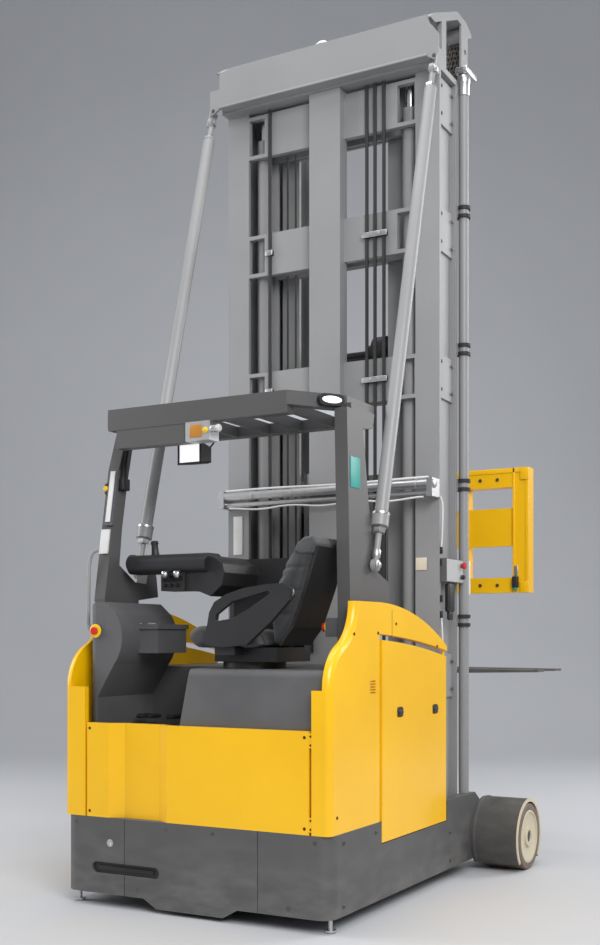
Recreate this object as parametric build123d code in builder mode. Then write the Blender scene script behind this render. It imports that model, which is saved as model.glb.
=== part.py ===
from build123d import *
import os

os.makedirs("parts", exist_ok=True)

# Automated turret truck, a very-narrow-aisle lift truck that stacks to three sides.
# Millimetres. +X is the truck's right, +Y points to the forks, +Z is up.
# The origin is on the floor, half way along the truck and on its centre line.
# Places along the truck are given as distances from the rear face of the skirt.

# Overall size
half_length = 1350
body_half_width = 680

# Clearances
seat_gap = 0.3
running_gap = 5
pin_gap = 0.05
panel_gap = 12

# Lower frame
frame_bottom = 60
frame_height = 340
floor_height = 40
frame_front = 1900
leg_width = 55
leg_nose_height = 170
side_wall = 40
skirt_wall = 35
corner_radius = 70
tray_front = 1255
mast_bay_wall = 30
mast_bay_length = 355
mast_foot_height = 200
door_sill = 300
door_rear = 492
lip_depth = 40
lip_half_width = 170
lip_slope = 70
seam_x = 342
seam_width = 4
seam_depth = 5
slot_x = -338
slot_z = 175
slot_length = 365
slot_height = 50
scanner_inset = 12
scanner_depth = 60
foot_inset = 35
foot_x = body_half_width - foot_inset
foot_y = 70
foot_radius = 24
foot_height = 10
foot_stem_radius = 9
foot_lift = 3

# Drive bay and drive unit
drive_y = 265
drive_wheel_radius = 185
drive_wheel_width = 130
drive_tread = 28
drive_axle_radius = 22
bay_half_width = 240
bay_half_depth = 211
bay_wall = 16
bay_roof = 484
neck_radius = 110
flange_radius = 135
flange_height = 20
yoke_leg = 22
yoke_gap = 8
yoke_half_depth = 85
yoke_hub_radius = 48

# Load wheels
load_wheel_y = 1770
load_wheel_radius = 170
load_wheel_width = 225
load_wheel_inset = 25
load_tread = 32
load_bore = 32
hub_rim = 14
hub_boss = 20
hub_dish = 22
housing_gap = 10
housing_wall = 15
housing_width = 215
housing_web = 16
housing_bottom = 40

# Battery, bulkheads and body panels
bulkhead_wall = 15
battery_gap = 18
battery_side_gap = 25
battery_height = 900
hood_thickness = 14
cover_wall = 38
cover_rear_height = 985
cover_shoulder_y = 235
cover_shoulder_z = 1354
cover_flat_end = 451
cover_nose_z = 1160
cover_edge_radius = 30
door_wall = 30
door_rear_top = 1190
door_front_top = 1107
door_gap = 26
door_crown = 12
hinge_pin_radius = 6
hinge_inset = 15
hinge_pin_length = 40
latch_width = 56
latch_height = 46
latch_depth = 14
louvre_y = 400
louvre_z = 988
louvre_pitch = 12
louvre_length = 58
louvre_depth = 10
rear_wall_top = 820
rear_wall_thickness = 26
rear_wall_left = 550
rear_wall_right = 582
left_return_top = 980
recess_left = 430
recess_right = 115
recess_depth = 35
recess_slope = 64
tab_height = 60
tab_heights = (412, 752)

# Cab
cab_floor = 620
cab_floor_thickness = 40
cab_half_width = 540
floor_leg = 30
plinth_top = 1065
plinth_rear_left = -17
plinth_front_left = -215
plinth_draft = 93
plinth_edge_radius = 30
pedal_top = 800
housing_outer = 590
housing_bulge = 401
seat_x = 130
seat_y = 330
seat_frame_height = 92
cushion_half = 228
side_panel_wall = 25

# Overhead guard
guard_top = 2236
guard_frame_height = 60
guard_rear = 100
guard_front = 750
guard_half_width = 590
guard_beam = 55
guard_left_corner = (510, 200)
guard_right_corner = (424, 330)
guard_front_corner = (470, 600)
rear_beam_height = 96
rear_box = (-463, -76)
rear_box_bottom = 2056
rear_box_depth = 60
sensor_right = 50
fin_pitch = 177
fin_offset = -14
fin_thickness = 14
roof_thickness = 10
lamp_x = -168
lamp_y = (255, 345)
lamp_z = (1985, 2090)
pillar_inner = 560
pillar_outer = 620
stay_pin_radius = 12

# Mast, three nested stages
outer_rail_width = 130
outer_web_inset = 30
outer_depth = 240
middle_rail_width = 110
inner_rail_width = 105
stage_depth = 240
stage_setback = 42
mast_wall = 20
mast_top = 4040
stage_rise = 80
crossbar_wall = 30
notch_edge = 20
tie_height = 25
spine_half_width = 90
spine_depth = 50
spine_bottom = 1300
bracket_wall = 12
head_beam_height = 204
head_beam_depth = 70
head_beam_half_width = 602
head_beam_lip = 14
head_rear = 1180
hood_front_z = 4430
hood_front_y = 1744
hood_cheek_y = 1692
hood_cheek_width = 92
hood_bottom = 4150
hood_inner = 505
lift_tube_radius = 40
lift_rod_radius = 25
lift_tube_top = 3900
free_tube_radius = 40
free_rod_radius = 28
free_tube_top = 2150
free_rod_bottom = 850
crosshead_z = 2700
crosshead_half = 90
pulley_radius = 46
pulley_width = 30
hose_pulley_radius = 85
hose_pulley_width = 70
pulley_axle_radius = 20
head_pulley_radius = 54
head_pulley_z = 4200

# Carriage, traverse frame and turning forks
roller_gap = 0.3
roller_reach_gap = 10
carriage_gap = 7
carriage_bottom = 1400
carriage_top = 2100
carriage_wall = 22
carriage_rear = 1500
traverse_rear = 2100
traverse_depth = 80
traverse_half_width = 820
traverse_top = 2140
traverse_bottom = 1452
traverse_lower_bar = 83
traverse_upper_bar = 105
traverse_post = 90
traverse_rib = 30
traverse_rib_x = 450
traverse_plate = (1710, 1920)
head_x = -580
head_half = 200
head_wall = 50
head_hook = 30
head_bottom = 1470
arm_half_width = 90
arm_height = 80
pivot_y = 2455
column_radius = 45
column_bottom = 1130
column_foot = 25
collar_wall = 15
sleeve_radius = 85
fork_bottom = 985
fork_thickness = 45
fork_tip_thickness = 12
fork_tip_rise = 25
fork_shank = 40
fork_width = 120
fork_length = 1230
fork_spread = 165
fork_heel_x = 180
fork_shank_top = 1430
fork_bar = 80
fork_bar_wall = 30
fork_bar_half = 245

# Stays between guard and mast head
stay_x = 640
stay_lower = (505, 1517)
stay_upper = (1165, 3970)
stay_radius = 31
stay_screw_radius = 14
stay_eye_radius = 28
stay_eye_width = 22

# Small fittings on the mast and cab
# height and radius of each tube
rail_tubes = ((1918, 14), (1962, 23))
screen_top = 1580
screen_wall = 18
hose_radius = 9
hose_places = (224, 270, 320)
left_hose_x = -351
hose_top = 4030
side_pipe_radius = 26
side_pipe_top = 4110
clamp_heights = (1290, 1990, 2690, 3400)
control_box_z = (1480, 1598)
control_box_depth = 35

# Places worked out from the sizes above
frame_top = frame_bottom + frame_height
frame_floor = frame_bottom + floor_height
tray_half_width = body_half_width - side_wall
panel_half_width = body_half_width - cover_wall
mast_bay_rear = tray_front + mast_bay_wall
mast_bay_front = mast_bay_rear + mast_bay_length
mast_bay_half_width = body_half_width - leg_width
mast_foot_top = frame_bottom + mast_foot_height
door_front = tray_front - running_gap
bay_x = bay_half_width + bay_wall
bay_y = bay_half_depth + bay_wall
bulkhead_top = plinth_top - hood_thickness
cab_rear = rear_wall_thickness + 4
guard_under = guard_top - guard_frame_height
cab_front = door_rear

mast_half_width = mast_bay_half_width - running_gap
outer_inner_edge = mast_half_width - outer_rail_width
outer_web_x = mast_half_width - outer_web_inset
middle_outer_edge = outer_inner_edge - running_gap
middle_inner_edge = middle_outer_edge - middle_rail_width
inner_outer_edge = middle_inner_edge - running_gap
inner_inner_edge = inner_outer_edge - inner_rail_width
carriage_plate_x = inner_inner_edge - carriage_gap - carriage_wall

mast_rear = mast_bay_rear + 3 * running_gap
lattice_front = mast_rear + crossbar_wall
outer_front = mast_rear + outer_depth
lift_x = (middle_outer_edge + middle_inner_edge) / 2
lift_y = lattice_front + running_gap + lift_tube_radius
middle_rear = lift_y + lift_tube_radius + running_gap
inner_rear = middle_rear + stage_setback
free_y = inner_rear + stage_depth / 2
spine_rear = mast_rear - spine_depth
stage_top = mast_top + stage_rise
head_beam_bottom = mast_top + 10
head_beam_top = head_beam_bottom + head_beam_height

# z of the lower and upper edge of each crossbar of the outer mast
crossbars = ((300, 480), (900, 1120), (2410, 2630), (3150, 3375), (mast_top - 250, mast_top - 20))


def station(distance):
    """Place along the truck, from its distance to the rear face of the skirt."""
    return distance - half_length


def stations(*distances):
    """Places along the truck of several distances."""
    return tuple(station(distance) for distance in distances)


def side_view(points):
    """Points of a side view, each given as its distance from the rear face and its height."""
    return [(station(distance), z) for distance, z in points]


def across(distance):
    """Upright plane that faces the rear, x to the right and y up, at a distance from the rear face."""
    return Plane.XZ.offset(-station(distance))


def lengthwise(x):
    """Upright plane that faces right, x forwards and y up, at one distance from the centre line."""
    return Plane.YZ.offset(x)


def level(z):
    """Horizontal plane at one height."""
    return Plane.XY.offset(z)


def mirrored(x0, x1, side):
    """The two x values of a piece that stands on one side of the centre line, in rising order."""
    return tuple(sorted((side * x0, side * x1)))


def block(x, y, z, mode=Mode.ADD):
    """Box between two values on each axis, in the part that is being built."""
    with Locations(((x[0] + x[1]) / 2, (y[0] + y[1]) / 2, (z[0] + z[1]) / 2)):
        Box(x[1] - x[0], y[1] - y[0], z[1] - z[0], mode=mode)


def prism(plane, points, amount, mode=Mode.ADD):
    """Polygon drawn on a plane and extruded, in the part that is being built."""
    with BuildSketch(plane) as face:
        with BuildLine() as outline:
            Polyline(*points, close=True)
        make_face(outline.edges())
    extrude(face.sketch, amount=amount, mode=mode)


def rod(plane, place, radius, length, mode=Mode.ADD):
    """Round bar that stands on a plane at a place, in the part that is being built."""
    with BuildSketch(plane) as face:
        with Locations(place):
            Circle(radius)
    extrude(face.sketch, amount=length, mode=mode)


def save(builder, name):
    """Label a finished piece and write it to its file."""
    builder.part.label = name
    export_step(builder.part, f"parts/{name}.step")


# Lower frame: tray with skirt, drive bay, mast foot and the two legs
with BuildPart() as chassis_frame:
    with BuildSketch(level(frame_bottom)) as plan:
        with Locations((0, station(frame_front / 2))):
            Rectangle(2 * body_half_width, frame_front)
        fillet(plan.vertices().group_by(Axis.Y)[0], corner_radius)
    extrude(amount=frame_height)
    block((-tray_half_width, tray_half_width), stations(skirt_wall, tray_front),
          (frame_floor, frame_top), Mode.SUBTRACT)
    block((-mast_bay_half_width, mast_bay_half_width), stations(mast_bay_rear, mast_bay_front),
          (mast_foot_top, frame_top), Mode.SUBTRACT)
    block((-mast_bay_half_width, mast_bay_half_width), stations(mast_bay_front, frame_front),
          (frame_bottom, frame_top), Mode.SUBTRACT)
    for side in (-1, 1):
        block(mirrored(tray_half_width, body_half_width, side),
              stations(door_rear - running_gap, tray_front), (door_sill, frame_top), Mode.SUBTRACT)
        prism(lengthwise(side * body_half_width),
              side_view(((mast_bay_front, frame_top), (frame_front, frame_top - leg_nose_height),
                         (frame_front, frame_top))),
              -side * leg_width, Mode.SUBTRACT)
        # Seams of the skirt plates
        block((side * seam_x - seam_width / 2, side * seam_x + seam_width / 2),
              stations(0, seam_depth), (frame_bottom, frame_top), Mode.SUBTRACT)
    lip_bottom = frame_bottom - lip_depth
    prism(across(0), ((-lip_half_width - lip_slope, frame_bottom), (-lip_half_width, lip_bottom),
                      (lip_half_width, lip_bottom), (lip_half_width + lip_slope, frame_bottom)),
          -skirt_wall)
    with BuildSketch(across(0)) as slot:
        with Locations((slot_x, slot_z)):
            SlotOverall(slot_length, slot_height)
    extrude(slot.sketch, amount=-skirt_wall, mode=Mode.SUBTRACT)
    block((-bay_x, bay_x), stations(drive_y - bay_y, drive_y + bay_y), (frame_bottom, bay_roof + bay_wall))
    block((-bay_half_width, bay_half_width), stations(drive_y - bay_half_depth, drive_y + bay_half_depth),
          (frame_bottom, bay_roof), Mode.SUBTRACT)
    rod(level(bay_roof), (0, station(drive_y)), neck_radius + seat_gap, bay_wall, Mode.SUBTRACT)
    # Lower hinge pins of the battery doors
    for side in (-1, 1):
        rod(level(door_sill), (side * (body_half_width - hinge_inset), station(door_front - hinge_inset)),
            hinge_pin_radius, hinge_pin_length)
save(chassis_frame, "chassis_frame")

# Light scanner behind the slot of the rear skirt
with BuildPart() as rear_scanner:
    with BuildSketch(across(scanner_inset)) as face:
        with Locations((slot_x, slot_z)):
            SlotOverall(slot_length - 2 * seat_gap, slot_height - 2 * seat_gap)
    extrude(face.sketch, amount=scanner_inset - skirt_wall)
    block((running_gap + floor_leg - cab_half_width, -bay_x - running_gap),
          stations(skirt_wall, skirt_wall + scanner_depth),
          (slot_z - slot_height, slot_z + slot_height))
save(rear_scanner, "rear_scanner")

# Levelling feet under the rear corners
with BuildPart() as levelling_feet:
    for side in (-1, 1):
        place = (side * foot_x, station(foot_y))
        rod(level(foot_lift), place, foot_radius, foot_height)
        rod(level(foot_lift + foot_height), place, foot_stem_radius, frame_bottom - foot_lift - foot_height)
save(levelling_feet, "levelling_feet")

# Steered drive unit: turntable, yoke and axle
yoke_inner = drive_wheel_width / 2 + yoke_gap
yoke_outer = yoke_inner + yoke_leg
yoke_top = 2 * drive_wheel_radius + 3 * running_gap
neck_bottom = bay_roof - 2 * running_gap
with BuildPart() as drive_unit:
    drive_place = (0, station(drive_y))
    rod(level(neck_bottom), drive_place, neck_radius, bay_roof + bay_wall + seat_gap - neck_bottom)
    rod(level(bay_roof + bay_wall + seat_gap), drive_place, flange_radius, flange_height)
    rod(level(yoke_top), drive_place, flange_radius, neck_bottom - yoke_top)
    for side in (-1, 1):
        half = yoke_half_depth
        prism(lengthwise(side * yoke_inner),
              side_view(((drive_y - half, yoke_top), (drive_y - half / 2, drive_wheel_radius),
                         (drive_y + half / 2, drive_wheel_radius), (drive_y + half, yoke_top),
                         (drive_y + half, yoke_top + 30), (drive_y - half, yoke_top + 30))),
              side * yoke_leg)
        rod(lengthwise(side * yoke_inner), (station(drive_y), drive_wheel_radius), yoke_hub_radius,
            side * yoke_leg)
    rod(lengthwise(-yoke_outer), (station(drive_y), drive_wheel_radius), drive_axle_radius, 2 * yoke_outer)
save(drive_unit, "drive_unit")


def wheel_ring(y, z, inner, outer, x0, x1, edge):
    """Ring about a sideways axle, with bevelled outer edges, in the part that is being built."""
    with BuildSketch(across(y)) as profile:
        with BuildLine() as outline:
            Polyline((x0, z + inner), (x0, z + outer - edge), (x0 + edge, z + outer),
                     (x1 - edge, z + outer), (x1, z + outer - edge), (x1, z + inner), close=True)
        make_face(outline.edges())
    revolve(profile.sketch, axis=Axis((0, station(y), z), (1, 0, 0)))


drive_rim_radius = drive_wheel_radius - drive_tread
half = drive_wheel_width / 2
with BuildPart() as drive_tyre:
    wheel_ring(drive_y, drive_wheel_radius, drive_rim_radius, drive_wheel_radius, -half, half, 5)
save(drive_tyre, "drive_tyre")

with BuildPart() as drive_rim:
    wheel_ring(drive_y, drive_wheel_radius, drive_axle_radius + pin_gap, drive_rim_radius,
               3 - half, half - 3, 3)
save(drive_rim, "drive_rim")

# Load wheels with the drum housings over them, one stub axle in each
load_wheel_inner = body_half_width + load_wheel_inset
load_wheel_outer = load_wheel_inner + load_wheel_width
load_rim_radius = load_wheel_radius - load_tread
housing_inner_radius = load_wheel_radius + housing_gap
housing_radius = housing_inner_radius + housing_wall
load_place = (station(load_wheel_y), load_wheel_radius)
with BuildPart() as load_wheel_housings:
    for side in (-1, 1):
        rod(lengthwise(side * body_half_width), load_place, housing_radius, side * housing_width)
        rod(lengthwise(side * (body_half_width + housing_web)), load_place, housing_inner_radius,
            side * housing_width, Mode.SUBTRACT)
        block(mirrored(body_half_width, body_half_width + housing_width, side),
              stations(load_wheel_y - housing_radius, load_wheel_y + housing_radius),
              (load_wheel_radius - housing_radius, housing_bottom), Mode.SUBTRACT)
        rod(lengthwise(side * body_half_width), load_place, load_bore - pin_gap,
            side * (load_wheel_outer - 8 - body_half_width))
save(load_wheel_housings, "load_wheel_housings")

for side, name in ((-1, "left"), (1, "right")):
    x0, x1 = mirrored(load_wheel_inner, load_wheel_outer, side)
    with BuildPart() as load_tyre:
        wheel_ring(load_wheel_y, load_wheel_radius, load_rim_radius, load_wheel_radius, x0, x1, 6)
    save(load_tyre, f"load_tyre_{name}")
    with BuildPart() as load_hub:
        wheel_ring(load_wheel_y, load_wheel_radius, load_bore, load_rim_radius, x0, x1, 3)
        with BuildSketch(lengthwise(side * load_wheel_outer)) as dish:
            with Locations(load_place):
                Circle(load_rim_radius - hub_rim)
                Circle(load_bore + hub_boss, mode=Mode.SUBTRACT)
        extrude(dish.sketch, amount=-side * hub_dish, mode=Mode.SUBTRACT)
    save(load_hub, f"load_hub_{name}")

# Battery block on the floor between two bulkheads, with the deck over it
battery_rear = door_rear + bulkhead_wall + battery_gap
battery_front = tray_front - bulkhead_wall - battery_gap
battery_half_width = tray_half_width - battery_side_gap
with BuildPart() as battery:
    block((-battery_half_width, battery_half_width), stations(battery_rear, battery_front),
          (frame_floor, frame_floor + battery_height))
save(battery, "battery")

with BuildPart() as bulkheads:
    for rear in (door_rear, tray_front - bulkhead_wall):
        block((-tray_half_width, tray_half_width), stations(rear, rear + bulkhead_wall),
              (frame_floor, bulkhead_top))
save(bulkheads, "bulkheads")

with BuildPart() as battery_hood:
    block((-tray_half_width, tray_half_width), stations(door_rear, tray_front), (bulkhead_top, plinth_top))
save(battery_hood, "battery_hood")


def cover_outline():
    """Side view of a body side cover: S-shaped rear edge, flat shoulder and falling nose."""
    with BuildLine() as outline:
        bottom = Line((station(0), frame_top), (station(0), cover_rear_height))
        middle = (station(cover_shoulder_y / 2), (cover_rear_height + cover_shoulder_z) / 2)
        lower_bend = TangentArc(bottom @ 1, middle, tangent=(0, 1))
        upper_bend = TangentArc(middle, (station(cover_shoulder_y), cover_shoulder_z), tangent=lower_bend % 1)
        flat = Line(upper_bend @ 1, (station(cover_flat_end), cover_shoulder_z))
        nose = TangentArc(flat @ 1, (station(door_front), cover_nose_z), tangent=(1, 0))
        Polyline(nose @ 1, (station(door_front), frame_top), bottom @ 0)
    make_face(outline.edges())


def door_outline(margin):
    """Side view of a battery door, widened all round by a margin."""
    rear, front = station(door_rear) - margin, station(door_front) + margin
    bottom = door_sill + running_gap - margin
    crown = (door_rear_top + door_front_top) / 2 + door_crown
    with BuildLine() as outline:
        rear_edge = Line((rear, bottom), (rear, door_rear_top + margin))
        top = ThreePointArc(rear_edge @ 1, ((rear + front) / 2, crown + margin),
                            (front, door_front_top + margin))
        Polyline(top @ 1, (front, bottom), rear_edge @ 0)
    make_face(outline.edges())


# Yellow side covers, open where the battery doors close them
# side, name, inner edge of the rear return, top of the rear return
cover_table = (
    (-1, "left", rear_wall_left + panel_gap, left_return_top),
    (1, "right", rear_wall_right + panel_gap, cover_rear_height),
)
pin_inset = body_half_width - hinge_inset
pin_place_y = station(door_front - hinge_inset)
for side, name, return_x, return_top in cover_table:
    with BuildPart() as side_cover:
        with BuildSketch(lengthwise(side * body_half_width)) as panel:
            cover_outline()
        extrude(panel.sketch, amount=-side * cover_wall)
        block(mirrored(return_x, panel_half_width, side), stations(0, rear_wall_thickness),
              (frame_top, return_top))
        upright = side_cover.edges().filter_by(Axis.Z).group_by(Axis.Y)[0]
        outer_rear = upright.sort_by(Axis.X)[-1 if side > 0 else 0]
        fillet(outer_rear, cover_edge_radius)
        with BuildSketch(lengthwise(side * body_half_width)) as opening:
            door_outline(door_gap)
        extrude(opening.sketch, amount=-side * cover_wall, mode=Mode.SUBTRACT)
        # Louvre behind the door
        with BuildSketch(lengthwise(side * body_half_width)) as louvre:
            with Locations((station(louvre_y), louvre_z)):
                with GridLocations(0, louvre_pitch, 1, 5):
                    SlotOverall(louvre_length, louvre_pitch / 2)
        extrude(louvre.sketch, amount=-side * louvre_depth, mode=Mode.SUBTRACT)
        rod(level(door_front_top - hinge_pin_length), (side * pin_inset, pin_place_y), hinge_pin_radius,
            hinge_pin_length + cover_nose_z - door_front_top)
    save(side_cover, f"side_cover_{name}")

# Battery doors, each hung on two pins at its front edge
# distance from the rear face and height of each latch
latch_places = ((door_rear + 192, 866), (door_front - 154, 859))
for side, name in ((-1, "left"), (1, "right")):
    pin_place = (side * pin_inset, pin_place_y)
    with BuildPart() as battery_door:
        with BuildSketch(lengthwise(side * body_half_width)) as panel:
            door_outline(0)
        extrude(panel.sketch, amount=-side * door_wall)
        front_edges = battery_door.edges().filter_by(Axis.Z).group_by(Axis.Y)[-1]
        fillet(front_edges, min(hinge_inset, door_wall / 2) - 0.5)
        rod(level(door_sill), pin_place, hinge_pin_radius + pin_gap, hinge_pin_length + running_gap,
            Mode.SUBTRACT)
        rod(level(door_front_top - hinge_pin_length), pin_place, hinge_pin_radius + pin_gap,
            2 * hinge_pin_length, Mode.SUBTRACT)
        with BuildSketch(lengthwise(side * body_half_width)) as pockets:
            with Locations(*side_view(latch_places)):
                RectangleRounded(latch_width, latch_height, latch_height / 5)
        extrude(pockets.sketch, amount=-side * latch_depth, mode=Mode.SUBTRACT)
    save(battery_door, f"battery_door_{name}")
    # Latch paddles that lie in the pockets, each with its hinge rib
    with BuildPart() as door_latches:
        for y, z in latch_places:
            paddle = latch_width - 2 * running_gap
            height = latch_height - 2 * running_gap
            x = mirrored(body_half_width - latch_depth, body_half_width - latch_depth / 2, side)
            block(x, stations(y - paddle / 2, y + paddle / 2), (z - height / 2, z + height / 2))
            block(mirrored(body_half_width - latch_depth / 2, body_half_width - 1, side),
                  stations(y - paddle / 2, y + paddle / 2), (z + height / 2 - 8, z + height / 2))
    save(door_latches, f"door_latches_{name}")

# Yellow rear wall with its folded recess and the tabs that reach to the right cover
with BuildPart() as rear_wall:
    wall = rear_wall_thickness
    slope = recess_slope
    prism(level(frame_top),
          ((-rear_wall_left, station(0)), (-recess_left, station(0)),
           (slope - recess_left, station(recess_depth)), (-recess_right - slope, station(recess_depth)),
           (-recess_right, station(0)), (rear_wall_right, station(0)), (rear_wall_right, station(wall)),
           (wall / 3 - recess_right, station(wall)),
           (wall / 3 - recess_right - slope, station(recess_depth + wall)),
           (slope - recess_left - wall / 3, station(recess_depth + wall)),
           (-recess_left - wall / 3, station(wall)), (-rear_wall_left, station(wall))),
          rear_wall_top - frame_top)
    block((-bay_x - seat_gap, bay_x), stations(drive_y - bay_y - seat_gap, drive_y),
          (frame_top, bay_roof + bay_wall + seat_gap), Mode.SUBTRACT)
    for z in tab_heights:
        block((rear_wall_right, rear_wall_right + panel_gap - seat_gap), stations(2, 10), (z, z + tab_height))
save(rear_wall, "rear_wall")

# Cab floor on the drive bay, with its carrying skirt and the slanted pedal plate
recess_space = recess_depth + rear_wall_thickness + running_gap
with BuildPart() as cab_floor_pan:
    under = cab_floor - cab_floor_thickness
    block((-cab_half_width, cab_half_width), stations(cab_rear, cab_front), (under, cab_floor))
    for side in (-1, 1):
        block(mirrored(cab_half_width - floor_leg, cab_half_width, side),
              stations(skirt_wall + running_gap, cab_front), (frame_floor, under))
    block((-recess_left - panel_gap, panel_gap - recess_right), stations(0, recess_space),
          (under, cab_floor), Mode.SUBTRACT)
    left = -cab_half_width
    prism(across(150), ((left + 20, cab_floor), (left + 60, pedal_top), (left + 80, pedal_top),
                        (left + 140, cab_floor)), -250)
save(cab_floor_pan, "cab_floor_pan")

# Moulded seat plinth, drawn in towards its top and cut away round the right guard pillar
# outline of the right guard pillar's foot: distance of its rear and front faces
pillar_foot_right = (300, 490)
with BuildPart() as seat_plinth:
    for z, spread in ((cab_floor, plinth_draft), (plinth_top, 0)):
        with BuildSketch(level(z)) as section:
            with BuildLine() as outline:
                Polyline((plinth_rear_left - spread, station(cab_rear)), (tray_half_width, station(cab_rear)),
                         (tray_half_width, station(cab_front)),
                         (plinth_front_left - spread, station(cab_front)), close=True)
            make_face(outline.edges())
    loft()
    fillet(seat_plinth.faces().sort_by(Axis.Y)[0].edges().group_by(Axis.Z)[-1], plinth_edge_radius)
    block((pillar_inner - running_gap, tray_half_width),
          stations(pillar_foot_right[0] - running_gap, cab_front), (cab_floor, plinth_top), Mode.SUBTRACT)
    block((cab_half_width, tray_half_width), stations(cab_rear, pillar_foot_right[0]),
          (cab_floor, cab_floor + cab_floor_thickness), Mode.SUBTRACT)
    block((-recess_left, panel_gap - recess_right), stations(0, recess_space),
          (cab_floor, rear_wall_top + running_gap), Mode.SUBTRACT)
save(seat_plinth, "seat_plinth")

# Moulded housing on the left of the cab, bulged at its inner side and cut away round the pillar
# outline of the left guard pillar's foot: distance of its rear and front faces
pillar_foot_left = (140, 400)
with BuildPart() as left_housing:
    with BuildSketch(across(2 * cab_rear)) as shape:
        with BuildLine() as outline:
            shoulder = Polyline((-cab_half_width, cab_floor), (-housing_outer, cab_floor),
                                (-housing_outer, 1340), (40 - housing_outer, 1362),
                                (-housing_bulge - 95, 1362), (-housing_bulge - 35, 1310))
            bulge = ThreePointArc(shoulder @ 1, (-housing_bulge, 1200), (-housing_bulge - 45, 1080))
            Polyline(bulge @ 1, (-cab_half_width, 930), (-cab_half_width, cab_floor))
        make_face(outline.edges())
    extrude(shape.sketch, amount=2 * cab_rear - cab_front)
    rear_left = left_housing.edges().filter_by(Axis.Z).group_by(Axis.X)[0].sort_by(Axis.Y)[0]
    fillet(rear_left, 45)
    # Lidded locker on its inner side
    block((-housing_bulge - 65, 95 - housing_bulge), stations(200, 430), (1130, 1240))
    block((-housing_bulge - 73, 103 - housing_bulge), stations(192, 438), (1240, 1262))
    block((-housing_outer - 1, panel_gap - pillar_inner),
          stations(pillar_foot_left[0] - 1, pillar_foot_left[1] + 2), (cab_floor - 1, 1400), Mode.SUBTRACT)
save(left_housing, "left_housing")

# Stop buttons: one behind the left housing, one on a box at the right pillar
with BuildPart() as stop_button_left:
    place = (45 - housing_outer, 1231)
    rod(across(2 * cab_rear - seat_gap), place, 22, 8)
    rod(across(2 * cab_rear - seat_gap - 8), place, 17, 14)
save(stop_button_left, "stop_button_left")

with BuildPart() as stop_box:
    inner_face = pillar_inner - seat_gap
    block((inner_face - 60, inner_face), stations(305, 365), (1203, 1285))
    rod(lengthwise(inner_face - 60), (station(335), 1245), 22, -8)
    rod(lengthwise(inner_face - 68), (station(335), 1245), 18, -14)
save(stop_box, "stop_box")

# Guard pillars: side views as distance from the rear and height, from the foot upwards
pillar_table = (
    (1, "right", ((pillar_foot_right[0], frame_floor), (pillar_foot_right[0], 1370),
                  (270, guard_under), (415, guard_under), (480, 1800), (550, 1500), (690, 1450), (700, 1370),
                  (pillar_foot_right[1], 1160), (pillar_foot_right[1], frame_floor))),
    (-1, "left", ((pillar_foot_left[0], frame_floor), (pillar_foot_left[0], 1380),
                  (195, 1710), (245, 1990), (310, guard_under), (370, guard_under), (315, 1950), (270, 1712),
                  (250, 1540), (373, 1466), (460, 1460), (485, 1545), (525, 1545), (545, 1500), (560, 1400),
                  (pillar_foot_left[1], 1380), (pillar_foot_left[1], frame_floor))),
)
for side, name, outline in pillar_table:
    with BuildPart() as guard_pillar:
        prism(lengthwise(side * pillar_outer), side_view(outline), side * (pillar_inner - pillar_outer))
        # Step in the outer face where the upper plate is welded on
        prism(lengthwise(side * pillar_outer),
              side_view(((0, 1150), (0, 1380), (520, 1330), (520, 1150))), -side * 6, Mode.SUBTRACT)
        rod(lengthwise(side * pillar_outer), (station(stay_lower[0]), stay_lower[1]), stay_pin_radius,
            side * (stay_x + stay_eye_width - pillar_outer))
        if side > 0:
            # Head plate beside the guard
            prism(lengthwise(pillar_outer),
                  side_view(((310, guard_under - 20), (310, guard_under + 25), (540, guard_under + 10),
                             (525, guard_under - 56), (400, guard_under - 73))),
                  guard_half_width + seat_gap - pillar_outer)
    save(guard_pillar, f"guard_pillar_{name}")

# Overhead guard: frame with cut corners, deep rear beam and the box under its left part
def guard_plan():
    """Plan of the overhead guard, with its rear corners cut off towards the pillars."""
    with BuildLine() as outline:
        Polyline((-guard_half_width, station(guard_left_corner[1])),
                 (-guard_left_corner[0], station(guard_rear)),
                 (guard_right_corner[0], station(guard_rear)),
                 (guard_half_width, station(guard_right_corner[1])),
                 (guard_half_width, station(guard_front_corner[1])),
                 (guard_front_corner[0], station(guard_front)),
                 (-guard_half_width, station(guard_front)), close=True)
    make_face(outline.edges())


with BuildPart() as overhead_guard:
    with BuildSketch(level(guard_under)) as ring:
        guard_plan()
        offset(amount=-guard_beam, mode=Mode.SUBTRACT)
    extrude(ring.sketch, amount=guard_frame_height)
    block((-guard_left_corner[0], guard_right_corner[0]), stations(guard_rear, guard_rear + guard_beam),
          (guard_top - rear_beam_height, guard_under))
    block(rear_box, stations(guard_rear + 2, guard_rear + rear_box_depth),
          (rear_box_bottom, guard_top - rear_beam_height))
save(overhead_guard, "overhead_guard")

with BuildPart() as guard_fins:
    for count in range(-2, 3):
        x = fin_offset + count * fin_pitch
        block((x - fin_thickness / 2, x + fin_thickness / 2),
              stations(guard_rear + guard_beam, guard_front - guard_beam),
              (guard_under, guard_top - roof_thickness))
save(guard_fins, "guard_fins")

with BuildPart() as roof_panel:
    with BuildSketch(level(guard_top - roof_thickness)) as plan:
        guard_plan()
        offset(amount=-guard_beam, mode=Mode.REPLACE)
    extrude(plan.sketch, amount=roof_thickness)
save(roof_panel, "roof_panel")

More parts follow.
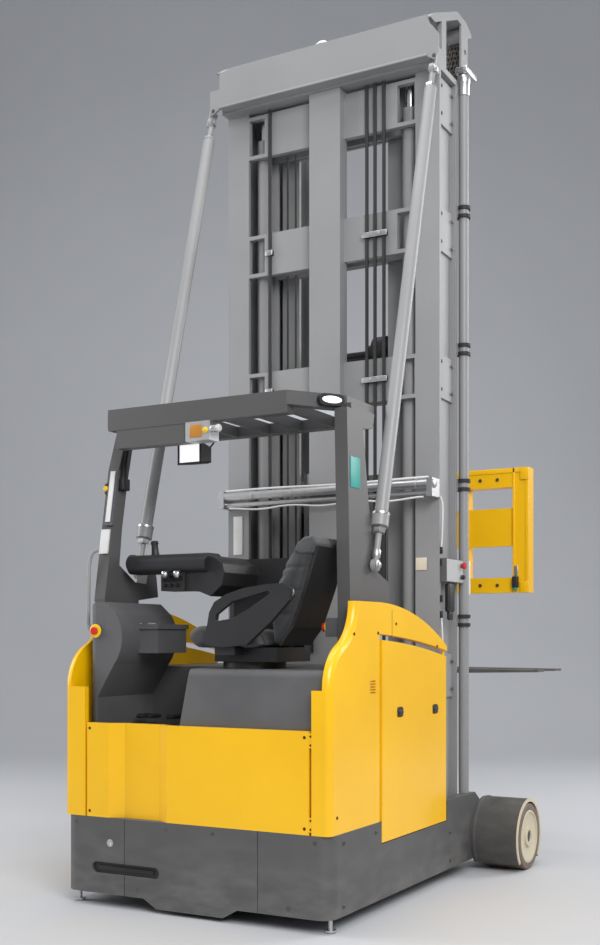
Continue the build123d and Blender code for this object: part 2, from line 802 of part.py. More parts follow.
# Floodlight hung from a fin, its face to the rear
lamp_half = 64
with BuildPart() as work_lamp:
    block((lamp_x - 30, lamp_x + 10), stations(lamp_y[0] + 30, lamp_y[1] - 30), (lamp_z[1] - 8, guard_under))
    with BuildSketch(across(lamp_y[1])) as body:
        with Locations((lamp_x, (lamp_z[0] + lamp_z[1]) / 2)):
            RectangleRounded(2 * lamp_half - 24, lamp_z[1] - lamp_z[0] - 24, 12)
    with BuildSketch(across(lamp_y[0])) as mouth:
        with Locations((lamp_x, (lamp_z[0] + lamp_z[1]) / 2)):
            RectangleRounded(2 * lamp_half, lamp_z[1] - lamp_z[0], 12)
    loft(sections=[body.sketch, mouth.sketch])
save(work_lamp, "work_lamp")

# Oval lamp on the cut corner of the guard, and the sensor box at the end of the rear box
corner_run = Vector(guard_half_width - guard_right_corner[0], guard_right_corner[1] - guard_rear, 0)
corner_start = Vector(guard_right_corner[0], station(guard_rear), (guard_under + guard_top) / 2)
corner_out = Vector(corner_run.Y, -corner_run.X, 0).normalized()
corner_place = corner_start + corner_run * 0.7 + corner_out * seat_gap
with BuildPart() as guard_lamp:
    with BuildSketch(Plane(origin=corner_place, x_dir=corner_run, z_dir=corner_out)) as lens:
        SlotOverall(120, 50)
    extrude(lens.sketch, amount=28)
save(guard_lamp, "guard_lamp")

with BuildPart() as sensor_box:
    beam_bottom = guard_top - rear_beam_height
    block((rear_box[1] + seat_gap, sensor_right), stations(guard_rear - 14, guard_rear + rear_box_depth),
          (rear_box_bottom, beam_bottom - seat_gap))
    rod(lengthwise(sensor_right), (station(guard_rear + 6), beam_bottom - 35), 16, 26)
save(sensor_box, "sensor_box")


def rail(side, x_outer, x_inner, web_x, rear, depth, z0, z1):
    """Rolled mast rail, a web between two flanges, in the part that is being built."""
    front = rear + depth
    web_inner = web_x - mast_wall
    corners = [(x_inner, rear), (x_outer, rear), (x_outer, rear + mast_wall), (web_x, rear + mast_wall),
               (web_x, front - mast_wall), (x_outer, front - mast_wall), (x_outer, front), (x_inner, front),
               (x_inner, front - mast_wall), (web_inner, front - mast_wall), (web_inner, rear + mast_wall),
               (x_inner, rear + mast_wall)]
    if x_outer == web_x:
        corners = [corner for place, corner in enumerate(corners) if place not in (2, 3, 4, 5)]
    prism(level(z0), [(side * x, station(y)) for x, y in corners], z1 - z0)


def roller_pair(side, x_web, x_reach, y, radius, heights):
    """Guide rollers that stand out of a web, in the part that is being built."""
    for height in heights:
        rod(lengthwise(side * x_web), (station(y), height), radius, side * (x_reach - x_web))


# Outer mast: rails with brackets beside each crossbar, then crossbars with the spine
with BuildPart() as mast_outer_rails:
    for side in (-1, 1):
        rail(side, mast_half_width, outer_inner_edge, outer_web_x, mast_rear, outer_depth,
             mast_foot_top, mast_top)
        for z0, z1 in crossbars[1:]:
            block(mirrored(outer_web_x, outer_web_x + bracket_wall, side),
                  stations(mast_rear + mast_wall, mast_rear + outer_depth - mast_wall), (z0, z1))
save(mast_outer_rails, "mast_outer_rails")

with BuildPart() as mast_lattice:
    for z0, z1 in crossbars:
        block((-outer_inner_edge, outer_inner_edge), stations(mast_rear, lattice_front), (z0, z1))
    # Notches through which the lift tubes show
    for side in (-1, 1):
        for z0, z1 in crossbars:
            block(mirrored(lift_x - lift_tube_radius, outer_inner_edge - running_gap, side),
                  stations(mast_rear, lattice_front), (z0 + notch_edge, z1 - notch_edge), Mode.SUBTRACT)
    block((-spine_half_width, spine_half_width), stations(mast_rear, lattice_front),
          (crossbars[0][0], mast_top))
    block((-spine_half_width, spine_half_width), stations(spine_rear, mast_rear), (spine_bottom, mast_top))
save(mast_lattice, "mast_lattice")

with BuildPart() as mast_head:
    head_front = head_rear + head_beam_depth
    step = 38
    ear = stay_x + 22
    # Pressed beam, seen from the rear, with its ears for the stays
    prism(across(head_rear),
          ((-head_beam_half_width, head_beam_top - 17), (-head_beam_half_width + 83, head_beam_top),
           (head_beam_half_width, head_beam_top), (head_beam_half_width + 10, head_beam_top - step),
           (ear, head_beam_top - 2 * step - 27), (ear, head_beam_bottom - step),
           (head_beam_half_width, head_beam_bottom), (-head_beam_half_width, head_beam_bottom),
           (-ear, head_beam_bottom - step), (-ear, head_beam_top - 2 * step - 27),
           (-head_beam_half_width, head_beam_top - 2 * step - 27)),
          -head_beam_lip)
    block((-head_beam_half_width, head_beam_half_width), stations(head_rear, head_front),
          (head_beam_bottom, head_beam_bottom + head_beam_lip))
    block((-head_beam_half_width + 83, head_beam_half_width), stations(head_rear, head_front),
          (head_beam_top - head_beam_lip, head_beam_top))
    block((-hood_inner, hood_inner), stations(head_front - head_beam_lip, lattice_front),
          (mast_top, head_beam_top - 60))
    block((-mast_half_width, mast_half_width), stations(head_front - head_beam_lip, lattice_front),
          (mast_top, head_pulley_z - head_pulley_radius - running_gap))
    for side in (-1, 1):
        # Hood over the pulleys at the top of the rail, bent down at its front
        top, front, peak = head_beam_top, hood_front_y, hood_front_z
        hood = ((head_rear, top - head_beam_lip), (head_rear + 60, top + 31), (front - 204, peak),
                (front - 84, peak), (front, peak - 30), (front, peak - 50), (hood_cheek_y, peak - 75),
                (hood_cheek_y, hood_bottom), (hood_cheek_y - bracket_wall, hood_bottom),
                (hood_cheek_y - bracket_wall, peak - 110), (front - 104, peak - 42),
                (front - 200, peak - 42), (head_rear + 90, top), (head_rear + 60, top - head_beam_lip))
        prism(lengthwise(side * hood_inner), side_view(hood), side * (mast_half_width - hood_inner))
        # Inner cheek, outer cheek at the front, and the upright between beam and hood
        prism(lengthwise(side * hood_inner),
              side_view(((head_rear + 40, mast_top + 20), (head_rear + 40, top - 80),
                         (head_rear + 80, top - 10), (front - 190, peak - 30), (front - 180, mast_top),
                         (lattice_front, mast_top))),
              side * bracket_wall)
        prism(lengthwise(side * mast_half_width),
              side_view(((hood_cheek_y - hood_cheek_width, hood_bottom), (hood_cheek_y, hood_bottom),
                         (hood_cheek_y, peak - 75), (front - 84, peak - 20),
                         (hood_cheek_y - hood_cheek_width, peak - 20))),
              -side * bracket_wall)
        prism(lengthwise(side * mast_half_width),
              side_view(((lattice_front, mast_top), (lattice_front + 60, mast_top),
                         (lattice_front + 60, top + 70), (lattice_front, top + 50))),
              -side * 2 * bracket_wall)
        block(mirrored(hood_inner, mast_half_width, side), stations(lattice_front, outer_front),
              (mast_top, mast_top + 30))
        # Lug and pin of the stay
        rod(lengthwise(side * (ear - 8)), (station(stay_upper[0]), stay_upper[1]), stay_pin_radius,
            side * -(ear - 8 - stay_x + stay_eye_width))
        prism(lengthwise(side * ear),
              side_view(((head_rear, head_beam_bottom), (stay_upper[0] - 20, stay_upper[1] - 20),
                         (stay_upper[0] + 25, stay_upper[1] - 20), (head_front, head_beam_bottom))),
              -side * 8)
save(mast_head, "mast_head")

# Pulleys under the two hoods
with BuildPart() as head_pulleys:
    for side in (-1, 1):
        x0 = side * (hood_inner + bracket_wall + seat_gap)
        rod(lengthwise(x0), (station(mast_rear), head_pulley_z), head_pulley_radius, side * 50)
        rod(lengthwise(x0), (station(mast_rear), head_pulley_z), pulley_axle_radius, side * 80)
save(head_pulleys, "head_pulleys")

with BuildPart() as lift_tubes:
    for side in (-1, 1):
        place = (side * lift_x, station(lift_y))
        rod(level(mast_foot_top), place, lift_tube_radius, lift_tube_top - mast_foot_top)
        rod(level(mast_foot_top + 40), place, lift_rod_radius + seat_gap, lift_tube_top, Mode.SUBTRACT)
save(lift_tubes, "lift_tubes")

# Middle stage
middle_bottom = mast_foot_top + 12
roller_first = 130
roller_pitch = 210
with BuildPart() as mast_middle:
    for side in (-1, 1):
        rail(side, middle_outer_edge, middle_inner_edge, middle_outer_edge, middle_rear, stage_depth,
             middle_bottom, stage_top)
        roller_pair(side, middle_outer_edge, outer_web_x - mast_wall - roller_reach_gap,
                    (lattice_front + outer_front - mast_wall) / 2,
                    (outer_front - mast_wall - lattice_front) / 2 - roller_gap,
                    (middle_bottom + roller_first, middle_bottom + roller_first + roller_pitch))
    for z0, z1 in crossbars:
        block((-middle_inner_edge, middle_inner_edge), stations(middle_rear, middle_rear + mast_wall),
              (z0 + 10, z1 - 10))
    # Tie that the lift rods push up
    block((-middle_outer_edge, middle_outer_edge),
          stations(lattice_front + running_gap, inner_rear - running_gap),
          (stage_top - tie_height, stage_top))
save(mast_middle, "mast_middle")

with BuildPart() as lift_rods:
    for side in (-1, 1):
        rod(level(mast_foot_top + 60), (side * lift_x, station(lift_y)), lift_rod_radius,
            stage_top - tie_height - mast_foot_top - 60)
save(lift_rods, "lift_rods")

# Inner stage
inner_bottom = middle_bottom + 8
inner_top = stage_top - mast_wall
with BuildPart() as mast_inner:
    for side in (-1, 1):
        rail(side, inner_outer_edge, inner_inner_edge, inner_outer_edge, inner_rear, stage_depth,
             inner_bottom, inner_top)
        roller_pair(side, inner_outer_edge, middle_outer_edge - mast_wall - roller_reach_gap,
                    middle_rear + stage_depth / 2, stage_depth / 2 - mast_wall - roller_gap,
                    (inner_bottom + roller_first, inner_bottom + roller_first + roller_pitch))
    for z0, z1 in crossbars:
        block((-inner_inner_edge, inner_inner_edge), stations(inner_rear, inner_rear + mast_wall),
              (z0 + 15, z1 - 15))
    block((-inner_inner_edge, inner_inner_edge), stations(inner_rear, inner_rear + stage_depth - 30),
          (inner_bottom, inner_bottom + mast_wall))
save(mast_inner, "mast_inner")

with BuildPart() as free_lift_tube:
    place = (0, station(free_y))
    rod(level(inner_bottom + mast_wall), place, free_tube_radius, free_tube_top - inner_bottom - mast_wall)
    rod(level(inner_bottom + 50), place, free_rod_radius + seat_gap, free_tube_top, Mode.SUBTRACT)
save(free_lift_tube, "free_lift_tube")

# Free-lift rod with its crosshead, two chain pulleys and the wide hose pulley
with BuildPart() as free_lift_crosshead:
    rod(level(free_rod_bottom), (0, station(free_y)), free_rod_radius, crosshead_z - free_rod_bottom)
    block((-crosshead_half, crosshead_half), stations(free_y - 35, free_y + 35),
          (crosshead_z - 40, crosshead_z + 10))
    axle = (station(free_y), crosshead_z + 10 + pulley_axle_radius)
    chain_x = crosshead_half + 8
    hose_x = chain_x + pulley_width + 17
    rod(lengthwise(-chain_x - pulley_width - 2), axle, pulley_axle_radius,
        chain_x + pulley_width + hose_x + hose_pulley_width + 7)
    for x0, width, radius in ((-chain_x - pulley_width, pulley_width, pulley_radius),
                              (chain_x, pulley_width, pulley_radius),
                              (hose_x, hose_pulley_width, hose_pulley_radius)):
        rod(lengthwise(x0), axle, radius, width)
save(free_lift_crosshead, "free_lift_crosshead")

# Mast carriage
inner_front = inner_rear + stage_depth
with BuildPart() as carriage:
    for side in (-1, 1):
        prism(lengthwise(side * carriage_plate_x),
              side_view(((carriage_rear, carriage_bottom), (traverse_rear - 60, carriage_bottom),
                         (traverse_rear, traverse_bottom), (traverse_rear, carriage_top),
                         (carriage_rear, carriage_top))),
              side * carriage_wall)
        roller_pair(side, carriage_plate_x + carriage_wall, inner_outer_edge - mast_wall - roller_reach_gap,
                    inner_rear + stage_depth / 2, stage_depth / 2 - mast_wall - roller_gap,
                    (carriage_bottom + roller_first, carriage_top - roller_first))
    block((-carriage_plate_x, carriage_plate_x), stations(inner_front + 20, inner_front + 45),
          (carriage_bottom + 40, carriage_top))
save(carriage, "carriage")

# Yellow traverse frame with its ribs and the plate between them
with BuildPart() as traverse_frame:
    y = stations(traverse_rear, traverse_rear + traverse_depth)
    for z0, z1 in ((traverse_bottom, traverse_bottom + traverse_lower_bar),
                   (traverse_top - traverse_upper_bar, traverse_top)):
        block((-traverse_half_width, traverse_half_width), y, (z0, z1))
    for side in (-1, 1):
        block(mirrored(traverse_half_width - traverse_post, traverse_half_width, side), y,
              (traverse_bottom, traverse_top))
        block(mirrored(traverse_rib_x - traverse_rib / 2, traverse_rib_x + traverse_rib / 2, side), y,
              (traverse_bottom, traverse_top))
    block((-traverse_half_width, traverse_half_width), (y[0] + 10, y[0] + 40), traverse_plate)
save(traverse_frame, "traverse_frame")

# Traverse head hooked over the frame, with the upright column between its two arms
head_rear_face = traverse_rear + traverse_depth + running_gap
head_front_face = head_rear_face + head_wall
head_top = traverse_top + head_hook
with BuildPart() as traverse_head:
    block((head_x - head_half, head_x + head_half), stations(head_rear_face, head_front_face),
          (head_bottom, head_top))
    block((head_x - head_half, head_x + head_half), stations(traverse_rear + 20, head_rear_face),
          (traverse_top + seat_gap, head_top))
    arms = ((head_bottom, head_bottom + arm_height), (head_top - arm_height - 70, head_top - 70))
    for z0, z1 in arms:
        with BuildSketch(level(z0)) as arm:
            with BuildLine() as outline:
                Polyline((head_x - arm_half_width, station(pivot_y)),
                         (head_x - head_half + 30, station(head_front_face)),
                         (head_x + head_half - 30, station(head_front_face)),
                         (head_x + arm_half_width, station(pivot_y)), close=True)
            make_face(outline.edges())
            with Locations((head_x, station(pivot_y))):
                Circle(arm_half_width)
        extrude(arm.sketch, amount=z1 - z0)
    rod(level(column_bottom), (head_x, station(pivot_y)), column_radius, arms[1][1] - column_bottom)
    rod(level(column_bottom), (head_x, station(pivot_y)), column_radius + collar_wall, column_foot)
save(traverse_head, "traverse_head")

# Turning fork carriage and the two forks
pivot = (head_x, station(pivot_y))
sleeve_bottom = column_bottom + column_foot + seat_gap
bar_rear = head_x + fork_heel_x - fork_bar_wall
with BuildPart() as fork_carriage:
    rod(level(sleeve_bottom), pivot, sleeve_radius, 265)
    block((head_x + sleeve_radius - 15, bar_rear), stations(pivot_y - 60, pivot_y + 60), (1020, 1420))
    rod(level(sleeve_bottom - 200), pivot, column_radius + collar_wall + running_gap, 200, Mode.SUBTRACT)
    rod(level(sleeve_bottom - 200), pivot, column_radius + seat_gap, 600, Mode.SUBTRACT)
    for z0 in (1020, 1420 - fork_bar):
        block((bar_rear, bar_rear + fork_bar_wall),
              stations(pivot_y - fork_bar_half, pivot_y + fork_bar_half), (z0, z0 + fork_bar))
save(fork_carriage, "fork_carriage")

heel = head_x + fork_heel_x
with BuildPart() as forks:
    for spread in (-fork_spread, fork_spread):
        tip = heel + fork_length
        low = fork_bottom + fork_tip_rise
        prism(across(pivot_y + spread - fork_width / 2),
              ((heel, fork_shank_top), (heel, fork_bottom + 12), (heel + 12, fork_bottom), (tip, low),
               (tip, low + fork_tip_thickness), (heel + fork_shank + 14, fork_bottom + fork_thickness),
               (heel + fork_shank, fork_bottom + fork_thickness + 14), (heel + fork_shank, fork_shank_top)),
              -fork_width)
        # Hook over the upper bar
        block((bar_rear + 5, heel),
              stations(pivot_y + spread - fork_width / 2, pivot_y + spread + fork_width / 2),
              (1420 + seat_gap, fork_shank_top))
save(forks, "forks")

# Stays from the guard pillars to the mast head: tube, screw ends and eyes
stay_run = ((stay_upper[0] - stay_lower[0]) ** 2 + (stay_upper[1] - stay_lower[1]) ** 2) ** 0.5
with BuildPart() as mast_stays:
    for side in (-1, 1):
        low = Vector(side * stay_x, station(stay_lower[0]), stay_lower[1])
        high = Vector(side * stay_x, station(stay_upper[0]), stay_upper[1])
        axis = (high - low).normalized()
        for start, end, radius in ((20, 180, stay_screw_radius), (180, 235, stay_radius + 8),
                                   (235, stay_run - 110, stay_radius),
                                   (stay_run - 110, stay_run - 20, stay_screw_radius)):
            rod(Plane(origin=low + axis * start, z_dir=axis), (0, 0), radius, end - start)
        for eye_y, eye_z in (stay_lower, stay_upper):
            with BuildSketch(lengthwise(side * stay_x - stay_eye_width / 2)) as eye:
                with Locations((station(eye_y), eye_z)):
                    Circle(stay_eye_radius)
                    Circle(stay_pin_radius + seat_gap, mode=Mode.SUBTRACT)
            extrude(eye.sketch, amount=stay_eye_width)
save(mast_stays, "mast_stays")

# Bright double rail along the rear of the mast, in its two end blocks
rail_block_y = spine_rear - 2 * rail_tubes[1][1] - 2 * seat_gap
rail_end = mast_half_width
with BuildPart() as bright_rails:
    for z, radius in rail_tubes:
        rod(lengthwise(-rail_end), (station(spine_rear - seat_gap - radius), z), radius, 2 * rail_end)
    for x in (15 - rail_end, rail_end - 15):
        block((x - 15, x + 15), stations(rail_block_y, mast_rear - seat_gap),
              (rail_tubes[0][0] - 20, rail_tubes[1][0] + 28))
save(bright_rails, "bright_rails")

# Black screen behind the left window of the mast, over the deck
with BuildPart() as mast_screen:
    block((-mast_half_width + 20, -spine_half_width - running_gap),
          stations(mast_rear - screen_wall - seat_gap, mast_rear - seat_gap), (plinth_top + 60, screen_top))
    block((-mast_half_width + 20, -spine_half_width - running_gap),
          stations(mast_rear - 3 * screen_wall, mast_rear - seat_gap), (screen_top - screen_wall, screen_top))
save(mast_screen, "mast_screen")

# Hoses clipped to the rear of the mast, with their clamps
with BuildPart() as mast_hoses:
    hose_y = mast_rear - hose_radius - seat_gap
    for x in (left_hose_x, *hose_places):
        low = screen_top + 40 if x < 0 else crossbars[1][0]
        rod(level(low), (x, station(hose_y)), hose_radius, hose_top - low)
    for z0, z1 in crossbars[2:4]:
        middle_z = (z0 + z1) / 2
        for x0, x1 in ((left_hose_x, left_hose_x), (hose_places[0], hose_places[-1])):
            block((x0 - 18, x1 + 18), stations(hose_y - hose_radius - 4, mast_rear - seat_gap),
                  (middle_z - 12, middle_z + 12))
save(mast_hoses, "mast_hoses")

# Pipe in front of the right mast rail with its double ring clamps
side_pipe_x = mast_half_width + 4 * running_gap
side_pipe_y = outer_front + side_pipe_radius + 3 * running_gap
with BuildPart() as side_pipe:
    rod(level(frame_top + seat_gap), (side_pipe_x, station(side_pipe_y)), side_pipe_radius,
        side_pipe_top - frame_top - seat_gap)
    for z in clamp_heights:
        for shift in (-22, 22):
            rod(level(z + shift - 8), (side_pipe_x, station(side_pipe_y)), side_pipe_radius + 6, 16)
        block((mast_half_width - 18, mast_half_width), stations(outer_front + seat_gap, side_pipe_y),
              (z - 30, z + 30))
save(side_pipe, "side_pipe")

# Control box on the right side of the mast, with its two buttons
with BuildPart() as control_box:
    box_y = stations(mast_rear + 5, outer_front - 5)
    block((mast_half_width + seat_gap, mast_half_width + control_box_depth), box_y, control_box_z)
    for z in (control_box_z[0] + 30, control_box_z[1] - 30):
        rod(lengthwise(mast_half_width + control_box_depth), (box_y[1] - 35, z), 11, 12)
save(control_box, "control_box")

# Swivel seat: turntable and frame, cushion, backrest, side panel and console
swing = pillar_inner - seat_x - running_gap
seat_frame_bottom = plinth_top + 30
seat_frame_top = plinth_top + seat_frame_height
seat_under = seat_frame_top + seat_gap
seat_place = (seat_x, station(seat_y))
side_panel_y = seat_y - 260
with BuildPart() as seat_base:
    rod(level(plinth_top + seat_gap), seat_place, 140, 30)
    block((seat_x - 115, seat_x + 200), stations(seat_y - 150, seat_y + 150),
          (seat_frame_bottom, seat_frame_top))
    # Arm of the console at the far side and bracket of the side panel at the near side
    block((seat_x - 60, seat_x), stations(seat_y + 150, seat_y + 270), (seat_frame_top - 32, seat_frame_top))
    block((seat_x - 60, seat_x + 40), stations(side_panel_y + side_panel_wall + seat_gap, seat_y - 150),
          (seat_frame_top - 32, seat_frame_top))
    block((seat_x - 60, seat_x + 40),
          stations(side_panel_y + side_panel_wall + seat_gap, seat_y - cushion_half - seat_gap),
          (seat_frame_top - 32, seat_frame_top + 58))
save(seat_base, "seat_base")

with BuildPart() as seat_cushion:
    prism(across(seat_y - cushion_half),
          ((seat_x - 240, 1200), (seat_x - 225, 1243), (seat_x - 180, 1256), (seat_x + 110, 1225),
           (seat_x + 150, seat_under), (seat_x - 200, seat_under)), -2 * cushion_half)
save(seat_cushion, "seat_cushion")

with BuildPart() as seat_back:
    prism(across(seat_y - 150),
          ((seat_x + 165, seat_under), (seat_x + 155, 1300), (seat_x + 185, 1430), (seat_x + 225, 1520),
           (seat_x + 285, 1600), (seat_x + 325, 1628), (seat_x + 365, 1632), (seat_x + 385, 1600),
           (seat_x + 325, 1416), (seat_x + 260, 1240), (seat_x + 195, seat_under)), -300)
    rod(level(plinth_top), seat_place, swing, 2 * plinth_top, Mode.INTERSECT)
save(seat_back, "seat_back")

# Side panel with the armrest loop, the near side of the seat
panel_points = ((47, 1255), (57, 1310), (83, 1353), (144, 1386), (229, 1410), (341, 1424), (423, 1427),
                (457, 1409), (452, 1356), (361, 1265), (243, 1169), (123, 1158), (37, 1168), (21, 1190))
loop_points = ((88, 1270), (93, 1300), (175, 1356), (351, 1396), (361, 1386), (263, 1325), (174, 1282))
with BuildPart() as seat_side:
    for points, mode in ((panel_points, Mode.ADD), (loop_points, Mode.SUBTRACT)):
        prism(across(side_panel_y), [(x - 130 + seat_x, z) for x, z in points], -side_panel_wall, mode)
    fillet(seat_side.edges().filter_by(Axis.Y), 5)
save(seat_side, "seat_side")

# Console: barrel with a bent wrist, control box under it and the arm box on the seat's far side
with BuildPart() as console:
    with BuildSketch(lengthwise(seat_x - 640)) as barrel:
        with Locations((station(seat_y - 15), 1540)):
            RectangleRounded(150, 88, 36)
    extrude(barrel.sketch, amount=430)
    block((seat_x - 460, seat_x - 330), stations(seat_y - 70, seat_y + 40), (1415, 1500))
    prism(across(seat_y - 60),
          ((seat_x - 347, 1581), (seat_x - 239, 1577), (seat_x - 174, 1561), (seat_x - 132, 1533),
           (seat_x - 121, 1493), (seat_x - 137, 1435), (seat_x - 196, 1387), (seat_x - 260, 1411),
           (seat_x - 347, 1415)), -360)
    block((seat_x - 260, seat_x + 120), stations(seat_y + 240, seat_y + 300), (seat_under, 1570))
save(console, "console")
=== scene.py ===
# %% [markdown]
# # An automated turret truck
# A very-narrow-aisle truck carries its operator sideways, lifts pallets on a mast of three nested stages,
# and turns its forks to either side of the aisle. The solids come from the CAD model as a fixed frame.
# This file gives them their finishes and adds what a solid leaves out: padding, chains, cables and fittings.

import math

import bmesh
import bpy
import numpy as np
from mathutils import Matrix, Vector


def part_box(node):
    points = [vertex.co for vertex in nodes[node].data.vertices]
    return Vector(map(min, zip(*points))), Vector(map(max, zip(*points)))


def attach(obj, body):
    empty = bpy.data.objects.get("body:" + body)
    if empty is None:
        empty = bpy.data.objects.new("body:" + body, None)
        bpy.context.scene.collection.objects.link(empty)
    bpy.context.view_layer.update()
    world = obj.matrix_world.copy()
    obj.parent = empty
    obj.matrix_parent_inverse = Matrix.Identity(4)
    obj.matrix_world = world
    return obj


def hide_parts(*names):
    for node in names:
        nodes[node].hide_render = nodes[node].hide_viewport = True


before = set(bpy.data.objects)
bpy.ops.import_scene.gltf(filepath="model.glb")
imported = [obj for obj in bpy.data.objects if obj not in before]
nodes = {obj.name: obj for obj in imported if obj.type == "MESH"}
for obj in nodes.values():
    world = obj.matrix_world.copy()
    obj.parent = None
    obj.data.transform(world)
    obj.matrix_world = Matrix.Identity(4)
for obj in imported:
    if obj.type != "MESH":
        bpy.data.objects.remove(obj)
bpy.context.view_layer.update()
scene = bpy.context.scene

# %% [markdown]
# ## Shader maths
# A finish is easier to read as an expression than as a web of nodes. `Wire` wraps the output of a node, and
# its operators add Math nodes, so `1 - mask * 0.5` works. Every other node comes from `Finish.node`, which
# sets the node's own settings first and then its sockets, by number or by a link.

# %% Wires and finishes


class Wire:
    """The output of a shader node, whose arithmetic adds Math nodes."""

    def __init__(self, finish, socket):
        self.finish = finish
        self.socket = socket

    def math(self, operation, *values):
        """A Math node on these values, clamped to no range."""
        return self.finish.node("ShaderNodeMath", {"operation": operation}, dict(enumerate(values)))

    def __add__(self, other):
        return self.math("ADD", self, other)

    def __radd__(self, other):
        return self.math("ADD", other, self)

    def __sub__(self, other):
        return self.math("SUBTRACT", self, other)

    def __rsub__(self, other):
        return self.math("SUBTRACT", other, self)

    def __mul__(self, other):
        return self.math("MULTIPLY", self, other)


class Finish:
    """A material under construction, with its shader and its Object coordinates."""

    def __init__(self, name, **sockets):
        self.material = bpy.data.materials.new(name)
        self.material.use_nodes = True
        self.tree = self.material.node_tree
        self.shader = self.tree.nodes["Principled BSDF"]
        self.place = self.node("ShaderNodeTexCoord", output="Object")
        self.set(**sockets)

    def node(self, kind, settings=None, values=None, output=0):
        """A node of this kind: its settings first, then the numbers or wires of its inputs."""
        made = self.tree.nodes.new(kind)
        for name, value in (settings or {}).items():
            setattr(made, name, value)
        for key, value in (values or {}).items():
            self.join(value, made.inputs[key])
        return Wire(self, made.outputs[output])

    def join(self, value, socket):
        """A wire is linked to the socket, and anything else becomes its value."""
        if isinstance(value, Wire):
            self.tree.links.new(value.socket, socket)
        elif socket.type == "RGBA":
            socket.default_value = (*value, 1)
        else:
            socket.default_value = value

    def set(self, **sockets):
        """Sockets of the shader by name, with underscores for spaces."""
        for name, value in sockets.items():
            self.join(value, self.shader.inputs[name.replace("_", " ")])

    def noise(self, scale, detail=3, stretch=(1, 1, 1), rough=0.5):
        """Soft random field from 0 to 1, of so many features a metre."""
        space = self.node("ShaderNodeMapping", None, {"Vector": self.place, "Scale": stretch})
        return self.node("ShaderNodeTexNoise", None,
                         {"Vector": space, "Scale": scale, "Detail": detail, "Roughness": rough})

    def span(self, value, low, high, to_low=0.0, to_high=1.0):
        """The value taken from one span to another, and held at its ends."""
        return self.node("ShaderNodeMapRange", {"clamp": True},
                         {"Value": value, "From Min": low, "From Max": high,
                          "To Min": to_low, "To Max": to_high})

    def blend(self, share, one, other):
        """The first colour where share is 0 and the other where it is 1."""
        return self.node("ShaderNodeMix", {"data_type": "RGBA"}, {0: share, 6: one, 7: other}, output=2)

    def axis(self, name):
        """X, Y or Z of the Object coordinates."""
        return self.node("ShaderNodeSeparateXYZ", None, {0: self.place}, output=name)

    def bump(self, height, distance, below=None):
        """Normal of a surface that rises by height times distance."""
        values = {"Height": height, "Distance": distance, "Strength": 1.0}
        if below is not None:
            values["Normal"] = below
        return self.node("ShaderNodeBump", None, values, output="Normal")

    def soft_edge(self, radius):
        """Normal that turns round edges of this radius."""
        return self.node("ShaderNodeBevel", {"samples": 4}, {"Radius": radius})

    def worn_edge(self, rounded):
        """Near 1 where the rounded normal leaves the face's own, so along edges."""
        face = self.node("ShaderNodeNewGeometry", output="Normal")
        match = self.node("ShaderNodeVectorMath", {"operation": "DOT_PRODUCT"}, {0: rounded, 1: face},
                          output="Value")
        return self.span(match, 0.995, 0.86)

    def facing_up(self):
        """1 on level faces that look up, where dust settles."""
        face = self.node("ShaderNodeNewGeometry", output="Normal")
        return self.span(self.node("ShaderNodeSeparateXYZ", None, {0: face}, output="Z"), 0.6, 0.98)


finishes = {}

# %% [markdown]
# ## Painted steel
# Most of the truck is painted plate. Paint is never one colour: it varies a little over a panel, has a fine
# orange-peel skin, gathers dust where a face looks up, gets scuffed low down, and wears to primer at edges.
# The same recipe with other numbers gives the yellow, the dark frame paint and the satin grey of the mast.

# %% Paint


def paint(name, colour, under, roughness, wear, dust, coat=0.0, peel=0.00012, edge=0.0015):
    """Painted plate. Colour = paint, darkened by slow noise, lightened by dust, worn to the colour under it
    where the edge mask beats a patchy noise. Roughness rises with dust and wear."""
    f = Finish(name, Coat_Weight=coat, Coat_Roughness=0.08)
    slow, patchy = f.noise(1.7, 5), f.noise(34, 6, rough=0.65)
    rounded = f.soft_edge(edge)
    worn = f.span(f.worn_edge(rounded) * patchy, 0.55 - wear, 0.62 - wear)
    body = f.blend(f.span(slow, 0.25, 0.75), [c * 0.90 for c in colour], [min(c * 1.06, 1) for c in colour])
    grime = f.span(f.axis("Z"), 0.42, 0.02, 0.0, 1.0) * f.span(f.noise(7, 6, (1, 1, 2.5)), 0.40, 0.72)
    dusty = f.facing_up() * f.span(f.noise(11, 6), 0.3, 0.8) * dust + grime * dust * 0.8
    body = f.blend(dusty, body, (0.36, 0.34, 0.31))
    scratch = f.span(f.noise(60, 2, (1, 14, 0.6)), 0.80, 0.84) * 0.25
    f.set(Base_Color=f.blend(worn.math("MAXIMUM", worn, scratch * worn), body, under),
          Roughness=roughness + slow * 0.10 + dusty * 0.3 + worn * 0.2,
          Normal=f.bump(f.noise(420, 2) + patchy * 0.25 - worn * 2, peel, rounded))
    finishes[name] = f.material


paint("body_yellow", (0.98, 0.53, 0.0), (0.30, 0.28, 0.25), 0.30, 0.02, 0.03, coat=0.22, peel=0.00006)
paint("frame_paint", (0.090, 0.088, 0.088), (0.22, 0.21, 0.20), 0.42, 0.10, 0.30)
paint("mast_grey", (0.275, 0.275, 0.278), (0.34, 0.33, 0.32), 0.38, 0.06, 0.16)
paint("stay_paint", (0.30, 0.30, 0.30), (0.16, 0.15, 0.14), 0.34, 0.04, 0.10)
paint("drum_paint", (0.062, 0.060, 0.058), (0.16, 0.15, 0.14), 0.60, 0.08, 0.25)
paint("box_grey", (0.42, 0.43, 0.43), (0.16, 0.15, 0.14), 0.40, 0.03, 0.08)
paint("hub_cream", (0.66, 0.58, 0.42), (0.16, 0.12, 0.09), 0.45, 0.12, 0.35)
print("paints", sorted(finishes))

